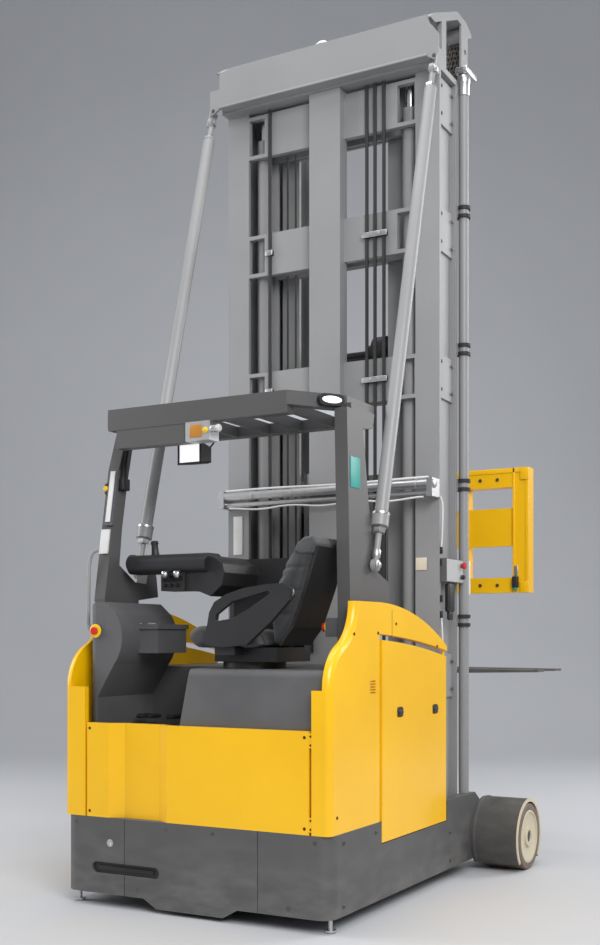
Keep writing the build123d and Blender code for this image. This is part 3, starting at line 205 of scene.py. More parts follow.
# %% [markdown]
# ## Moulded plastic, rubber and bare metal
# Plastic shows the grain of its mould: shallow pebbles under a millimetre wide. Rubber is smoother and more
# matt. Bare metal is drawn or brushed, so its roughness runs in streaks along one axis.

# %% Plastics and metals


def moulded(name, colour, roughness, grain=0.00022, scale=650, edge=0.002):
    """Grained plastic. Height = distance to the nearest of many cells, which makes round pebbles."""
    f = Finish(name)
    cells = f.node("ShaderNodeTexVoronoi", {"feature": "SMOOTH_F1"},
                   {"Vector": f.place, "Scale": scale, "Smoothness": 0.6})
    slow = f.noise(5, 5)
    rounded = f.soft_edge(edge)
    # Edge mask: along edges the colour is lightened as a painted sheen highlight, and the roughness drops
    # where the edges are rubbed smooth.
    edge_sheen_and_rub = f.worn_edge(rounded) * f.span(f.noise(24, 4), 0.45, 0.8)
    dusty = f.facing_up() * f.span(f.noise(13, 6), 0.35, 0.8) * 0.16
    body = f.blend(f.span(slow, 0.3, 0.7), [c * 0.86 for c in colour], [c * 1.14 for c in colour])
    f.set(Base_Color=f.blend(dusty, f.blend(edge_sheen_and_rub * 0.25, body, [min(c * 2.2 + 0.02, 1) for c in colour]),
                             (0.30, 0.29, 0.27)),
          Roughness=roughness + slow * 0.12 + dusty * 0.5 - edge_sheen_and_rub * 0.1,
          Normal=f.bump(cells, grain, rounded))
    finishes[name] = f.material


def bare_metal(name, colour, roughness, stretch, tarnish=0.4):
    """Metal with streaks. Roughness = level + noise stretched along the way it was drawn or brushed."""
    f = Finish(name, Metallic=1.0)
    streak, stain = f.noise(55, 3, stretch), f.noise(9, 6, rough=0.7)
    f.set(Base_Color=f.blend(f.span(stain, 0.42, 0.75) * tarnish, colour, [c * 0.45 for c in colour]),
          Roughness=roughness + streak * 0.16 + f.span(stain, 0.4, 0.8) * 0.14,
          Normal=f.bump(streak, 0.00006, f.soft_edge(0.001)))
    finishes[name] = f.material


moulded("cab_plastic", (0.096, 0.096, 0.100), 0.50)
moulded("black_plastic", (0.018, 0.018, 0.019), 0.40, grain=0.00012)
moulded("rubber_black", (0.016, 0.016, 0.016), 0.58, grain=0.00008, scale=900)
moulded("white_plastic", (0.72, 0.72, 0.70), 0.35, grain=0.00004)
for name, colour, roughness in (("red_button", (0.62, 0.015, 0.010), 0.28),
                                ("signal_yellow", (0.85, 0.55, 0.01), 0.32),
                                ("signal_orange", (0.48, 0.20, 0.02), 0.35),
                                ("plate_teal", (0.015, 0.30, 0.26), 0.34),
                                ("plate_cream", (0.70, 0.62, 0.48), 0.34)):
    moulded(name, colour, roughness, grain=0.00002)
bare_metal("bright_steel", (0.62, 0.62, 0.63), 0.26, (1, 1, 0.05))
bare_metal("fork_steel", (0.30, 0.29, 0.28), 0.36, (0.05, 1, 1), 0.7)
bare_metal("rod_chrome", (0.80, 0.80, 0.82), 0.08, (1, 1, 0.03), 0.1)
bare_metal("chain_steel", (0.16, 0.15, 0.14), 0.38, (1, 1, 0.6), 0.6)
bare_metal("alu", (0.70, 0.70, 0.71), 0.32, (1, 0.05, 1), 0.2)
bare_metal("rust_screw", (0.16, 0.075, 0.030), 0.60, (1, 1, 1), 0.7)
moulded("dark_glass", (0.010, 0.008, 0.008), 0.08, grain=0.00001)
bare_metal("rim_iron", (0.17, 0.16, 0.15), 0.55, (1, 1, 1), 0.6)
print("finishes", len(finishes))

# %% [markdown]
# ## Treads, seat cloth and lamps
# The load wheels have a hard polyurethane tread, brown where it is clean and grey where it has run over
# concrete. The seat cover is a coarse two-colour weave, drawn as the product of two sine waves. A lamp's
# lens glows a little, so that it reads as lit without lighting the truck. The roof sheet glows the same way,
# as painted light for the daylight that shines through it; it is no lamp.

# %% Tread, cloth and lamp


def tread(name, colour):
    """Polyurethane. The colour goes to a dusty grey where a coarse and a fine noise are both high."""
    f = Finish(name)
    coarse, fine = f.noise(16, 6), f.noise(150, 5, rough=0.7)
    dirt = f.span(coarse + fine * 0.6, 0.62, 1.05)
    f.set(Base_Color=f.blend(dirt, colour, (0.20, 0.175, 0.15)),
          Roughness=f.span(dirt, 0, 1, 0.38, 0.78),
          Normal=f.bump(fine + coarse, 0.0005, f.soft_edge(0.002)))
    finishes[name] = f.material


def woven(name, colour, pitch=0.0028):
    """Seat cloth. Height = |sin| of one thread times |sin| of the other, along X + Y and along Z + Y."""
    f = Finish(name, Sheen_Weight=0.35, Sheen_Roughness=0.45)
    turn = 2 * math.pi / pitch
    warp = f.node("ShaderNodeMath", {"operation": "SINE"}, {0: (f.axis("X") + f.axis("Y")) * turn})
    weft = f.node("ShaderNodeMath", {"operation": "SINE"}, {0: (f.axis("Z") + f.axis("Y")) * turn})
    cross = warp * weft
    fuzz, worn = f.noise(800, 3), f.noise(6, 5)
    body = f.blend(f.span(cross, -0.4, 0.6), [c * 0.45 for c in colour], [c * 1.5 for c in colour])
    f.set(Base_Color=f.blend(f.span(worn, 0.45, 0.8) * 0.35, body, (0.09, 0.09, 0.095)),
          Roughness=0.82 - f.span(worn, 0.5, 0.8) * 0.12,
          Normal=f.bump(cross + fuzz, 0.0004))
    finishes[name] = f.material


def lit(name, colour, strength):
    """Lens or sheet with fine ribs that glows as if lit from behind: Emission Color carries the ribs and a
    soft noise. On the roof sheet this glow is painted light for the daylight through it.
    """
    f = Finish(name, Roughness=0.2, Emission_Strength=strength)
    ribs = f.node("ShaderNodeMath", {"operation": "SINE"}, {0: f.axis("X") * 900})
    glow = f.blend(f.span(ribs + f.noise(20, 3), -0.6, 1.5), [c * 0.75 for c in colour], colour)
    f.set(Base_Color=glow, Emission_Color=glow, Normal=f.bump(ribs, 0.0002))
    finishes[name] = f.material


tread("tread_brown", (0.15, 0.085, 0.048))
tread("tread_black", (0.045, 0.040, 0.036))
woven("seat_fabric", (0.030, 0.031, 0.034))
woven("seat_piping", (0.075, 0.076, 0.08), 0.0012)
lit("lamp_lens", (1.0, 1.0, 1.0), 0.8)
# The roof sheet's glow is painted light, standing for daylight through the sheet. The sheet is no lamp.
lit("roof_white", (0.90, 0.93, 0.97), 0.55)
print("finishes", len(finishes))

# %% [markdown]
# ## Dressing the CAD nodes
# A CAD node whose shape is right stays and only gets its finish. One table says which finish each takes.

# %% Finishes of the CAD nodes
worn_by = {
    "frame_paint": """chassis_frame battery bulkheads battery_hood guard_pillar_left
        guard_pillar_right overhead_guard guard_fins""",
    "body_yellow": """side_cover_left side_cover_right rear_wall battery_door_left battery_door_right
        traverse_frame""",
    "cab_plastic": "cab_floor_pan seat_plinth left_housing stop_box control_box",
    "mast_grey": """mast_outer_rails mast_lattice mast_head lift_tubes mast_middle mast_inner
        free_lift_tube carriage traverse_head fork_carriage side_pipe""",
    "stay_paint": "mast_stays",
    "drum_paint": "load_wheel_housings",
    "black_plastic": """rear_scanner work_lamp guard_lamp mast_screen seat_base console seat_side
        door_latches_left door_latches_right free_lift_crosshead""",
    "rubber_black": "mast_hoses",
    "bright_steel": "levelling_feet bright_rails head_pulleys",
    "rod_chrome": "lift_rods",
    "fork_steel": "forks",
    "rim_iron": "drive_unit drive_rim",
    "tread_black": "drive_tyre",
    "tread_brown": "load_tyre_left load_tyre_right",
    "hub_cream": "load_hub_left load_hub_right",
    # Roof panel: a glowing finish, painted light for the daylight through the sheet.
    "roof_white": "roof_panel",
    "alu": "sensor_box",
    "red_button": "stop_button_left",
    "seat_fabric": "seat_cushion seat_back",
}
for finish, names in worn_by.items():
    for node_name in names.split():
        for place in nodes[node_name].material_slots:
            place.material = finishes[finish]
bare = sorted(set(nodes) - set(" ".join(worn_by.values()).split()))
print("nodes without a finish", bare)

# %% [markdown]
# ## The studio
# The truck stands on a pale floor that curves up into a backdrop, under large soft lamps, as in a catalogue
# photograph. The camera is level and about as high as a person's chest, 29 degrees off the truck's rear axis.
# Its lens is shifted instead of tilted, which keeps the uprights parallel. The sheet's faces look away from
# the truck, and it is clear from that side, so a view from behind the backdrop sees through it.

# %% Floor, lamps and camera
HALF_LENGTH = 1.350


def at(x, y, z):
    """Metres in the frame from millimetres, with y counted from the rear face of the skirt."""
    return np.stack(np.broadcast_arrays(np.asarray(x) / 1000.0, np.asarray(y) / 1000.0 - HALF_LENGTH,
                                        np.asarray(z) / 1000.0), -1).astype(float)


def shell(points, closed=False):
    """Points and faces of a surface over a grid. When it is closed, its columns go all the way round, and its
    first and last row get one face each."""
    rows, columns = points.shape[:2]
    index = np.arange(rows * columns).reshape(rows, columns)
    ends = []
    if closed:
        ends = [index[0][::-1].tolist(), index[-1].tolist()]
        index = np.concatenate([index, index[:, :1]], 1)
    faces = np.stack([index[:-1, :-1], index[:-1, 1:], index[1:, 1:], index[1:, :-1]], -1)
    return points.reshape(-1, 3), faces.reshape(-1, 4).tolist() + ends


def solid(points):
    """Closed surface over a grid of points in truck millimetres."""
    return shell(at(*np.moveaxis(points, -1, 0)), True)


def circle(sides):
    """Cosine and sine of angles evenly round a circle, each as a column."""
    angle = np.linspace(0, 2 * math.pi, sides, endpoint=False)[:, None]
    return np.cos(angle), np.sin(angle)


def piece(name, shapes, finish, body="chassis", smooth=True, angle=35):
    """One mesh of several shapes, with its faces turned outwards, its finish, and the body it rides on."""
    start, points, faces = 0, [], []
    for shape_points, shape_faces in shapes:
        points.append(shape_points)
        faces += [[corner + start for corner in face] for face in shape_faces]
        start += len(shape_points)
    mesh = bpy.data.meshes.new(name)
    mesh.from_pydata(np.concatenate(points), [], faces)
    tidy = bmesh.new()
    tidy.from_mesh(mesh)
    bmesh.ops.remove_doubles(tidy, verts=tidy.verts, dist=1e-6)
    bmesh.ops.recalc_face_normals(tidy, faces=tidy.faces)
    tidy.to_mesh(mesh)
    tidy.free()
    made = bpy.data.objects.new(name, mesh)
    scene.collection.objects.link(made)
    mesh.materials.append(finishes[finish])
    if smooth:
        mesh.shade_smooth()
        mesh.set_sharp_from_angle(angle=math.radians(angle))
    if body:
        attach(made, body)
    return made


floor_finish = Finish("pale_floor", Roughness=0.75)
floor_tone = floor_finish.noise(0.8, 5)
truck_side = floor_finish.node("ShaderNodeNewGeometry", output="Backfacing")
floor_finish.set(Base_Color=floor_finish.blend(floor_tone, (0.50, 0.51, 0.53), (0.54, 0.55, 0.57)),
                 Normal=floor_finish.bump(floor_finish.noise(300, 3), 0.0002), Alpha=truck_side)
finishes["pale_floor"] = floor_finish.material

# Along the sheet from 0 to 1: a level floor, a quarter turn of this radius, and a wall.
FLOOR_NEAR, FLOOR_FAR, BEND_RADIUS, WALL_RISE = -16, 6, 4, 60
FLOOR_SHARE, BEND_SHARE = 0.55, 0.2
run = np.linspace(0, 1, 60)
bend = np.clip((run - FLOOR_SHARE) / BEND_SHARE, 0, 1) * math.pi / 2
level = FLOOR_NEAR + run / FLOOR_SHARE * (FLOOR_FAR - FLOOR_NEAR)
depth = np.where(run < FLOOR_SHARE, level, FLOOR_FAR + BEND_RADIUS * np.sin(bend))
rise = BEND_RADIUS * (1 - np.cos(bend)) + np.clip(run - FLOOR_SHARE - BEND_SHARE, 0, 1) * WALL_RISE
across_floor = np.linspace(-30, 30, 24)
turn = math.radians(28.8)
side_way = np.array([math.cos(turn), math.sin(turn), 0])
back_way = np.array([-math.sin(turn), math.cos(turn), 0])
floor_points = (across_floor[None, :, None] * side_way + depth[:, None, None] * back_way
                + rise[:, None, None] * np.array([0, 0, 1.0]))
floor = piece("floor", [shell(floor_points)], "pale_floor", None)


def soft_lamp(name, place, aim, size, power):
    """Area lamp at a place, turned to a point that it lights."""
    lamp = bpy.data.lights.new(name, "AREA")
    lamp.shape, lamp.size, lamp.size_y, lamp.energy = "RECTANGLE", *size, power
    holder = bpy.data.objects.new(name, lamp)
    scene.collection.objects.link(holder)
    way = np.array(aim, float) - np.array(place, float)
    holder.location = place
    holder.rotation_mode = "QUATERNION"
    holder.rotation_quaternion = Vector(way).to_track_quat("-Z", "Y")


soft_lamp("key_lamp", (5.5, -6.0, 5.5), (0, -0.4, 1.6), (4.0, 4.0), 520)
soft_lamp("left_lamp", (-6.5, -3.0, 3.5), (0, -0.4, 1.6), (3.0, 5.0), 260)
soft_lamp("top_lamp", (0.0, -1.0, 8.0), (0, -0.3, 1.0), (5.0, 5.0), 300)
soft_lamp("rim_lamp", (4.5, 4.5, 4.5), (0, 0, 2.0), (3.0, 4.0), 240)

world = bpy.data.worlds.new("studio_air")
world.use_nodes = True
air = world.node_tree.nodes["Background"].inputs
air["Color"].default_value = (0.72, 0.74, 0.78, 1)
air["Strength"].default_value = 0.42
scene.world = world

camera_data = bpy.data.cameras.new("photo_camera")
# The picture's height, its focal length and its horizon, in pixels of the photograph
PICTURE_HEIGHT, FOCAL_PIXELS, HORIZON = 945, 1193, 640
camera_data.sensor_width, camera_data.lens = 36.0, FOCAL_PIXELS / PICTURE_HEIGHT * 36.0
camera_data.shift_y = (HORIZON - PICTURE_HEIGHT / 2) / PICTURE_HEIGHT
camera = bpy.data.objects.new("photo_camera", camera_data)
camera.location = (2.872, -4.238 - HALF_LENGTH, 1.19)
camera.rotation_euler = (math.pi / 2, 0, turn)
scene.collection.objects.link(camera)
scene.camera = camera
scene.view_settings.view_transform = "Standard"
print("camera lens", round(camera_data.lens, 2), "shift", round(camera_data.shift_y, 3))

# %% [markdown]
# ## Shapes as whole arrays
# Every piece added here is a surface over a grid, worked out with numpy and closed by `shell`. A box with
# round edges is a ball whose eight parts are pushed apart, a knob is a profile turned about a line, a hose is
# a circle carried along a smooth path, and a plate is an outline repeated at two depths. All of them are
# written in truck millimetres, x to the right, y from the rear face and z from the floor.

# %% Shape functions


def block(low, high, radius, steps=4):
    """Box with round edges. A point = centre + sign * (half size - radius) + radius * direction, where the
    directions run over a ball and the sign is that of the eighth of the ball the point belongs to."""
    low, high = np.array(low, float), np.array(high, float)
    radius = min(radius, *((high - low) * 0.499))
    quarter = np.linspace(0, math.pi / 2, steps)
    tilt, tilt_sign = np.concatenate([quarter - math.pi / 2, quarter]), np.repeat([-1, 1], steps)
    turn = np.concatenate([quarter + k * math.pi / 2 for k in range(4)])
    turn_x, turn_y = np.repeat([1, -1, -1, 1], steps), np.repeat([1, 1, -1, -1], steps)
    way = np.stack([np.outer(np.cos(tilt), np.cos(turn)), np.outer(np.cos(tilt), np.sin(turn)),
                    np.outer(np.sin(tilt), np.ones_like(turn))], -1)
    sign = np.stack(np.broadcast_arrays(turn_x[None, :], turn_y[None, :], tilt_sign[:, None]), -1)
    points = (low + high) / 2 + sign * ((high - low) / 2 - radius) + radius * way
    return solid(points)


def turned(place, way, profile, sides=24):
    """Profile turned about a line. A point = place + distance * way + radius * (cos a * side + sin a * up),
    with side and up square to the way."""
    way = np.array(way, float) / np.linalg.norm(way)
    side = np.cross(way, (0, 0, 1) if abs(way[2]) < 0.9 else (0, 1, 0))
    side /= np.linalg.norm(side)
    up = np.cross(way, side)
    cosine, sine = circle(sides)
    ring = cosine * side + sine * up
    distance, radius = np.array(profile, float).T
    return solid(np.array(place, float) + distance[:, None, None] * way + radius[:, None, None] * ring)


def smooth_path(points, count=12):
    """Curve through the points. Between two of them it is the cubic whose slopes are half the difference of
    the neighbours on each side."""
    points = np.array(points, float)
    padded = np.concatenate([2 * points[:1] - points[1:2], points, 2 * points[-1:] - points[-2:-1]])
    before, start, end, after = padded[:-3], padded[1:-2], padded[2:-1], padded[3:]
    t = np.linspace(0, 1, count, endpoint=False)[None, :, None]
    before, start, end, after = (p[:, None] for p in (before, start, end, after))
    curve = 0.5 * (2 * start + (end - before) * t + (2 * before - 5 * start + 4 * end - after) * t ** 2
                   + (3 * start - before - 3 * end + after) * t ** 3)
    return np.concatenate([curve.reshape(-1, 3), points[-1:]])


def hose(path, radius, sides=12):
    """Circle carried along a path, square to it, with both ends closed."""
    path = np.array(path, float)
    way = np.gradient(path, axis=0)
    way /= np.linalg.norm(way, axis=1, keepdims=True)
    flat = np.eye(3)[np.argmin(np.ptp(path, axis=0) + 1e-3 * np.abs(way).mean(0))]
    side = np.cross(way, flat)
    side /= np.linalg.norm(side, axis=1, keepdims=True)
    up = np.cross(side, way)
    cosine, sine = circle(sides)
    return solid(path[:, None] + radius * (cosine * side[:, None] + sine * up[:, None]))


def plate(outline, axis, start, thickness):
    """Flat outline of two coordinates, repeated at two depths along the third axis."""
    outline = np.array(outline, float)
    return solid(np.stack([np.insert(outline, axis, depth, axis=1) for depth in (start, start + thickness)]))


def bolt(place, way, radius, height):
    """Hexagon head: a six-sided profile with a small chamfer."""
    return turned(place, way, ((0, radius), (height * 0.8, radius), (height, radius * 0.88), (height, 0)), 6)


def screw(place, way, radius, height):
    """Round screw head, domed, with a socket sunk in it."""
    return turned(place, way, ((0, radius), (height * 0.5, radius), (height, radius * 0.75),
                               (height, radius * 0.42), (height * 0.3, radius * 0.40), (height * 0.3, 0)), 14)


def knob(name, finish, place, way, profile, sides=24, body="chassis"):
    """One turned form that is a piece by itself."""
    piece(name, [turned(place, way, profile, sides)], finish, body)


# %% [markdown]
# ## The roof and the lamps
# The roof panels are milky sheet. Their finish, given above, glows as painted light for the daylight that
# shines through them, so from below they are the brightest part of the truck. The floodlight hangs under
# them with a ribbed black housing and a lit face.

# %% Floodlight and small lamps
REAR, LEFT, RIGHT, UP = (0, -1, 0), (-1, 0, 0), (1, 0, 0), (0, 0, 1)
SIDES = ((-1, "left"), (1, "right"))


def node_box(name):
    """Lowest and highest corner of a CAD node in truck millimetres."""
    low, high = (np.array(corner, float) * 1000 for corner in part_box(name))
    return low + (0, HALF_LENGTH * 1000, 0), high + (0, HALF_LENGTH * 1000, 0)


(lamp_left, lamp_face, lamp_foot), (lamp_right, lamp_back, _) = node_box("work_lamp")
lamp_top, LAMP_RIM, FIN_PITCH = 2090, 10, 12
lens = block((lamp_left + 9, lamp_face - 2, lamp_foot + 9), (lamp_right - 9, lamp_face + 4, lamp_top - 9), 3)
piece("floodlight_face", [lens], "lamp_lens")
rim_bars = [block((lamp_left, lamp_face - 6, z), (lamp_right, lamp_face + 2, z + LAMP_RIM), 3)
            for z in (lamp_foot, lamp_top - LAMP_RIM)]
rim_bars += [block((x, lamp_face - 6, lamp_foot), (x + LAMP_RIM, lamp_face + 2, lamp_top), 3)
             for x in (lamp_left, lamp_right - LAMP_RIM)]
fins = [block((x, lamp_back, lamp_foot + 16), (x + 5, lamp_back + 12, lamp_top - 16), 1.5, 2)
        for x in lamp_left + 14 + FIN_PITCH * np.arange(9)]
piece("floodlight_frame", rim_bars + fins, "black_plastic")
lamp_x = (lamp_left + lamp_right) / 2
lamp_lead = smooth_path(np.array(((20, 8, -30), (46, 26, -4), (62, 34, 40), (60, 40, 82)))
                        + (lamp_x, lamp_back, lamp_top))
piece("floodlight_lead", [hose(lamp_lead, 4)], "rubber_black")

corner_low, corner_high = node_box("guard_lamp")
corner_mid = (corner_low + corner_high) / 2
CORNER_CUT = (230.0, 166.0)
corner_way = np.array((CORNER_CUT[0], -CORNER_CUT[1], 0)) / math.hypot(*CORNER_CUT)
corner_side = np.array((CORNER_CUT[1], CORNER_CUT[0], 0)) / math.hypot(*CORNER_CUT)


def oval(mid, side, way, half, depth, bulge, rows=6, sides=32):
    """Oval lens. Rings shrink from the rim to nothing while they move out along a quarter circle."""
    cosine, sine = circle(sides)
    grow = np.linspace(0, math.pi / 2, rows)
    reach = np.cos(grow)[:, None, None] * (cosine * side * half[0] + sine * np.array(UP) * half[1])
    out = (depth + np.sin(grow) * bulge)[:, None, None] * way
    return solid(mid + reach + out)


piece("corner_lamp_lens", [oval(corner_mid, corner_side, corner_way, (48, 16), 12, 9)], "lamp_lens")
piece("corner_lamp_rim", [oval(corner_mid, corner_side, corner_way, (62, 27), 8, 5)], "black_plastic")

(left, face, foot), (right, _, top) = node_box("sensor_box")
piece("sensor_plate", [block((left + 22, face - 2.5, foot + 14), (left + 84, face + 1, top - 14), 4)],
      "signal_orange")
knob("sensor_lens", "signal_yellow", (left + 104, face + 1, foot + 42), REAR,
     ((0, 13), (6, 13), (9, 11), (11, 6), (12, 0)))
knob("sensor_cap", "white_plastic", (right - 4, face + 20, top - 34), RIGHT,
     ((0, 15), (10, 17), (16, 17), (21, 12), (23, 0)))
print("lamps and sensors made")

# %% [markdown]
# ## Plates and lights on the pillars
# Small plates, a strip light and a push button sit on the pillars and on the mast. Each is a thin box on the
# face that carries it, and those of the left pillar follow its sloping rear edge.

# %% Plates and pillar fittings
RAIL_FACE, MAST_REAR = 620.2, 1300.0
piece("pillar_plate", [block((RAIL_FACE, 300, 1840), (622.5, 395, 1972), 14)], "plate_teal")
screen_plate = block((-586, MAST_REAR - 3.5, 1654), (-528, MAST_REAR + 0.2, 1863), 4)
piece("screen_plate", [screen_plate], "white_plastic")
piece("mast_plate", [block((492, MAST_REAR - 3.5, 1540), (552, MAST_REAR + 0.2, 1603), 4)], "plate_cream")


def pillar_rear(z):
    """Rear edge of the left pillar at a height, from the straight runs between its corners."""
    return np.interp(z, (1380, 1710, 1990, 2176), (140, 195, 245, 310))


def pillar_fitting(z0, z1, x0, x1, out, sink=3):
    """Flat bar on the sloping rear face of the left pillar, out by so much."""
    edges = ((pillar_rear(z0) - out, z0), (pillar_rear(z1) - out, z1), (pillar_rear(z1) + sink, z1),
             (pillar_rear(z0) + sink, z0))
    return plate(edges, 0, x0, x1 - x0)


piece("pillar_light", [pillar_fitting(1722, 1990, -600, -552, 16)], "cab_plastic", smooth=False)
piece("pillar_light_strip", [pillar_fitting(1738, 1978, -590, -564, 20, -14)], "white_plastic", smooth=False)
piece("pillar_card", [pillar_fitting(1590, 1704, -616, -568, 8)], "white_plastic", smooth=False)
button_y = float(pillar_rear(1897))
button_base = block((-622, button_y - 14, 1871), (-596, button_y + 16, 1923), 6)
piece("pillar_button_base", [button_base], "black_plastic")
knob("pillar_button", "signal_yellow", (-609, button_y - 12, 1897), REAR,
     ((0, 12), (9, 12), (13, 9), (14, 0)))
joint_boxes = [block((-562, y, 1890), (-530, y + 26, 1945), 5) for y in (236, 268)]
piece("pillar_joint_boxes", joint_boxes, "black_plastic")
lead_one = smooth_path(((-548, 250, 1943), (-552, 262, 1990), (-556, 284, 2060), (-556, 306, 2120),
                        (-556, 326, 2178)))
lead_two = smooth_path(((-546, 282, 1943), (-553, 290, 1995), (-556, 306, 2062), (-556, 326, 2122),
                        (-556, 346, 2178)))
piece("pillar_leads", [hose(lead_one, 5), hose(lead_two, 4)], "rubber_black")
print("plates made")

# %% [markdown]
# ## Screws, seams and latches of the body
# The yellow panels are held by dark screws in rows, and each door has two black paddle latches with a small
# lock under them. The screws of one panel are one joined mesh, because a hundred objects would say no more.

# %% Body fittings
PANEL = 680.0


def side_screws(places, radius, height):
    """The same screws on both side panels, at these places along and up them."""
    return [screw((side * PANEL, y, z), (side, 0, 0), radius, height) for side in (-1, 1) for y, z in places]


cover_screws = side_screws(((216, 1215), (451, 1220), (60, 470), (1120, 1160), (640, 1262)), 7, 3)
piece("cover_screws", cover_screws, "rust_screw")
wall_screws = [screw((x, 0, z), REAR, 7, 0.6) for x in (-535, 562) for z in (425, 795)]
piece("wall_screws", wall_screws, "rust_screw")
tab_screws = [screw((590, 2, z), REAR, 5, 2) for z in (424, 460, 764, 800)]
piece("tab_screws", tab_screws, "rust_screw")
seams = [block((side * 679 - 2, 595.5, 1205), (side * 679 + 2, 598.5, 1325), 1, 2) for side in (-1, 1)]
piece("cover_seams", seams, "rubber_black")
for side, name in SIDES:
    dish, paddle, shapes = side * 681, side * 684, []
    for y, z in ((684, 866), (1096, 859)):
        shapes += [block((dish - 2.5, y - 31, z - 19), (dish + 2.5, y + 31, z + 19), 2.4),
                   block((paddle - 4, y - 20, z - 12), (paddle + 4, y + 20, z + 7), 3.5),
                   turned((side * 683, y + 25, z), (side, 0, 0), ((0, 5), (2, 5), (3, 4), (3, 0)), 16)]
    piece(f"door_locks_{name}", shapes, "black_plastic", f"door_{name}")
print("body fittings made")

# %% [markdown]
# ## Lower frame
# Under the panels the frame is thick plate. It carries a key lock, round studs, the slot of the scanner with
# its dark window, and at the front the drum housings of the load wheels.

# %% Frame fittings
studs = [screw((x, 0, 93), REAR, 11, 0.6) for x in (-272, 487)]
studs += [screw((x, 0, 370), REAR, 9, 0.6) for x in (-610, -120, 120, 610)]
studs += side_screws(((120, 360), (430, 360), (120, 100), (1290, 240), (1290, 100)), 10, 4)
piece("frame_studs", studs, "chain_steel")
knob("key_lock", "bright_steel", (-421, 0, 288), REAR,
     ((0, 17), (0.3, 17), (0.6, 14), (0.6, 7), (0.2, 6), (0.2, 0)))
piece("scanner_window", [block((-488, 7, 163), (-188, 11.5, 187), 4)], "dark_glass")


def arc_band(centre, side, from_angle, to_angle, profile, rows=56):
    """Closed profile of (distance, radius) carried round the wheel's axle from one angle to another."""
    angle = np.radians(np.linspace(from_angle, to_angle, rows))[:, None]
    distance, radius = np.array(profile, float).T
    return shell(at(centre[0] + side * distance + 0 * angle, centre[1] + radius * np.cos(angle),
                    centre[2] + radius * np.sin(angle)), True)


WHEEL = (1770, 170)
# Name, finish, x, first and last angle, then near and far distance and inner and outer radius
drum_bands = (("drum_edge", "drum_paint", 893, -40, 220, (0, 34, 181, 195)),
              ("drum_lip", "hub_cream", 893, -40, 220, (30, 36, 179, 196)),
              ("drum_collar", "frame_paint", 690, -38, 218, (2, 14, 194, 198)))
for side, name in SIDES:
    low, high = node_box(f"load_hub_{name}")
    face = max(abs(low[0]), abs(high[0]))
    cover_profile = ((-4, 132), (5, 134), (7, 130), (3, 124), (-1, 60), (-2, 0))
    cover = turned((side * (face - 8), *WHEEL), (side, 0, 0), cover_profile, 64)
    piece(f"hub_cover_{name}", [cover], "hub_cream", f"load_wheel_{name}")
    for part, finish, x, start, end, (near, far, inner, outer) in drum_bands:
        section = ((near, inner), (far, inner), (far, outer), (near, outer))
        piece(f"{part}_{name}", [arc_band((x * side, *WHEEL), side, start, end, section)], finish)
print("frame fittings made")

# %% [markdown]
# ## Stays
# Each stay is a tube that screws onto a forked eye at both ends. Lock nuts hold its length, a pin with a
# washer goes through each eye, and the zinc of these parts is far brighter than the tube's grey paint.

# %% Stay fittings
STAY_X = 640
stay_low, stay_high = np.array((505.0, 1517.0)), np.array((1165.0, 3970.0))
stay_length = float(np.linalg.norm(stay_high - stay_low))
stay_way = np.array((0, *(stay_high - stay_low) / stay_length))
# Along the tube from its foot or head: distance, profile and sides of two lock nuts, an eye and a collar
stay_rings = (("foot", 150, ((0, 28), (4, 30), (26, 30), (30, 28), (30, 15)), 6),
              ("foot", 34, ((0, 17), (5, 20), (34, 20), (40, 16)), 20),
              ("foot", 232, ((0, 40), (10, 41), (16, 33)), 28),
              ("head", -112, ((0, 28), (4, 30), (20, 30), (24, 28), (24, 15)), 6))
pin_profile = ((0, 24), (4, 24), (5, 14), (12, 14), (14, 11), (14, 0))
shapes = []
for side in (-1, 1):
    ends = {"foot": np.array((side * STAY_X, *stay_low)), "head": np.array((side * STAY_X, *stay_high))}
    shapes += [turned(ends[end] + stay_way * distance, stay_way, profile, sides)
               for end, distance, profile, sides in stay_rings]
    shapes += [turned(place + (side * 12, 0, 0), (side, 0, 0), pin_profile, 24) for place in ends.values()]
piece("stay_fittings", shapes, "bright_steel")
print("stay length", round(stay_length), "mm")

# %% [markdown]
# ## Mast fittings
# Hoses are clipped to the outer mast with bright clamps, leaf chain hangs from the wheels at its head, bolts
# hold the crossbars, and the pipe at the right has black double rings and a bright fitting at its top.

# %% Mast fittings
CROSSBARS = (1010, 2520, 3262, 3905)
bar_bolts = [bolt((side * 608, y, z), (side, 0, 0), 9, 7) for bar in CROSSBARS for z in (bar - 70, bar + 70)
             for side in (-1, 1) for y in (1350, 1495)]
piece("bracket_bolts", bar_bolts, "chain_steel")
clamps = [block((x0, 1273, z - 14), (x1, 1281, z + 14), 3) for z in CROSSBARS[1:3]
          for x0, x1 in ((-373, -329), (202, 342))]
clamps += [screw((x, 1273, z), REAR, 7, 5) for z in CROSSBARS[1:3] for x in (-351, 249, 297)]
piece("hose_clamps", clamps, "bright_steel")


def leaf_chain(x, y, z0, z1, pitch=25.4, width=34, plates=4):
    """Leaf chain hanging straight down: each link is a stack of thin plates, as a figure of eight seen from
    the side, and the links of one stack lie between those of the next."""
    cosine, sine = circle(12)
    waist = np.where(np.abs(sine) < 0.2, 0.78, 1.0)
    around = np.concatenate([cosine * 9.5 * waist, sine * 9.5 + np.sign(sine) * pitch / 2], 1)
    shapes = []
    for link, z in enumerate(np.arange(z0 + pitch, z1 - pitch, pitch)):
        for k in range(link % 2, plates, 2):
            start = x - width / 2 + k * width / plates
            shapes.append(plate(around + (y, z), 0, start, width / plates * 0.86))
    return shapes


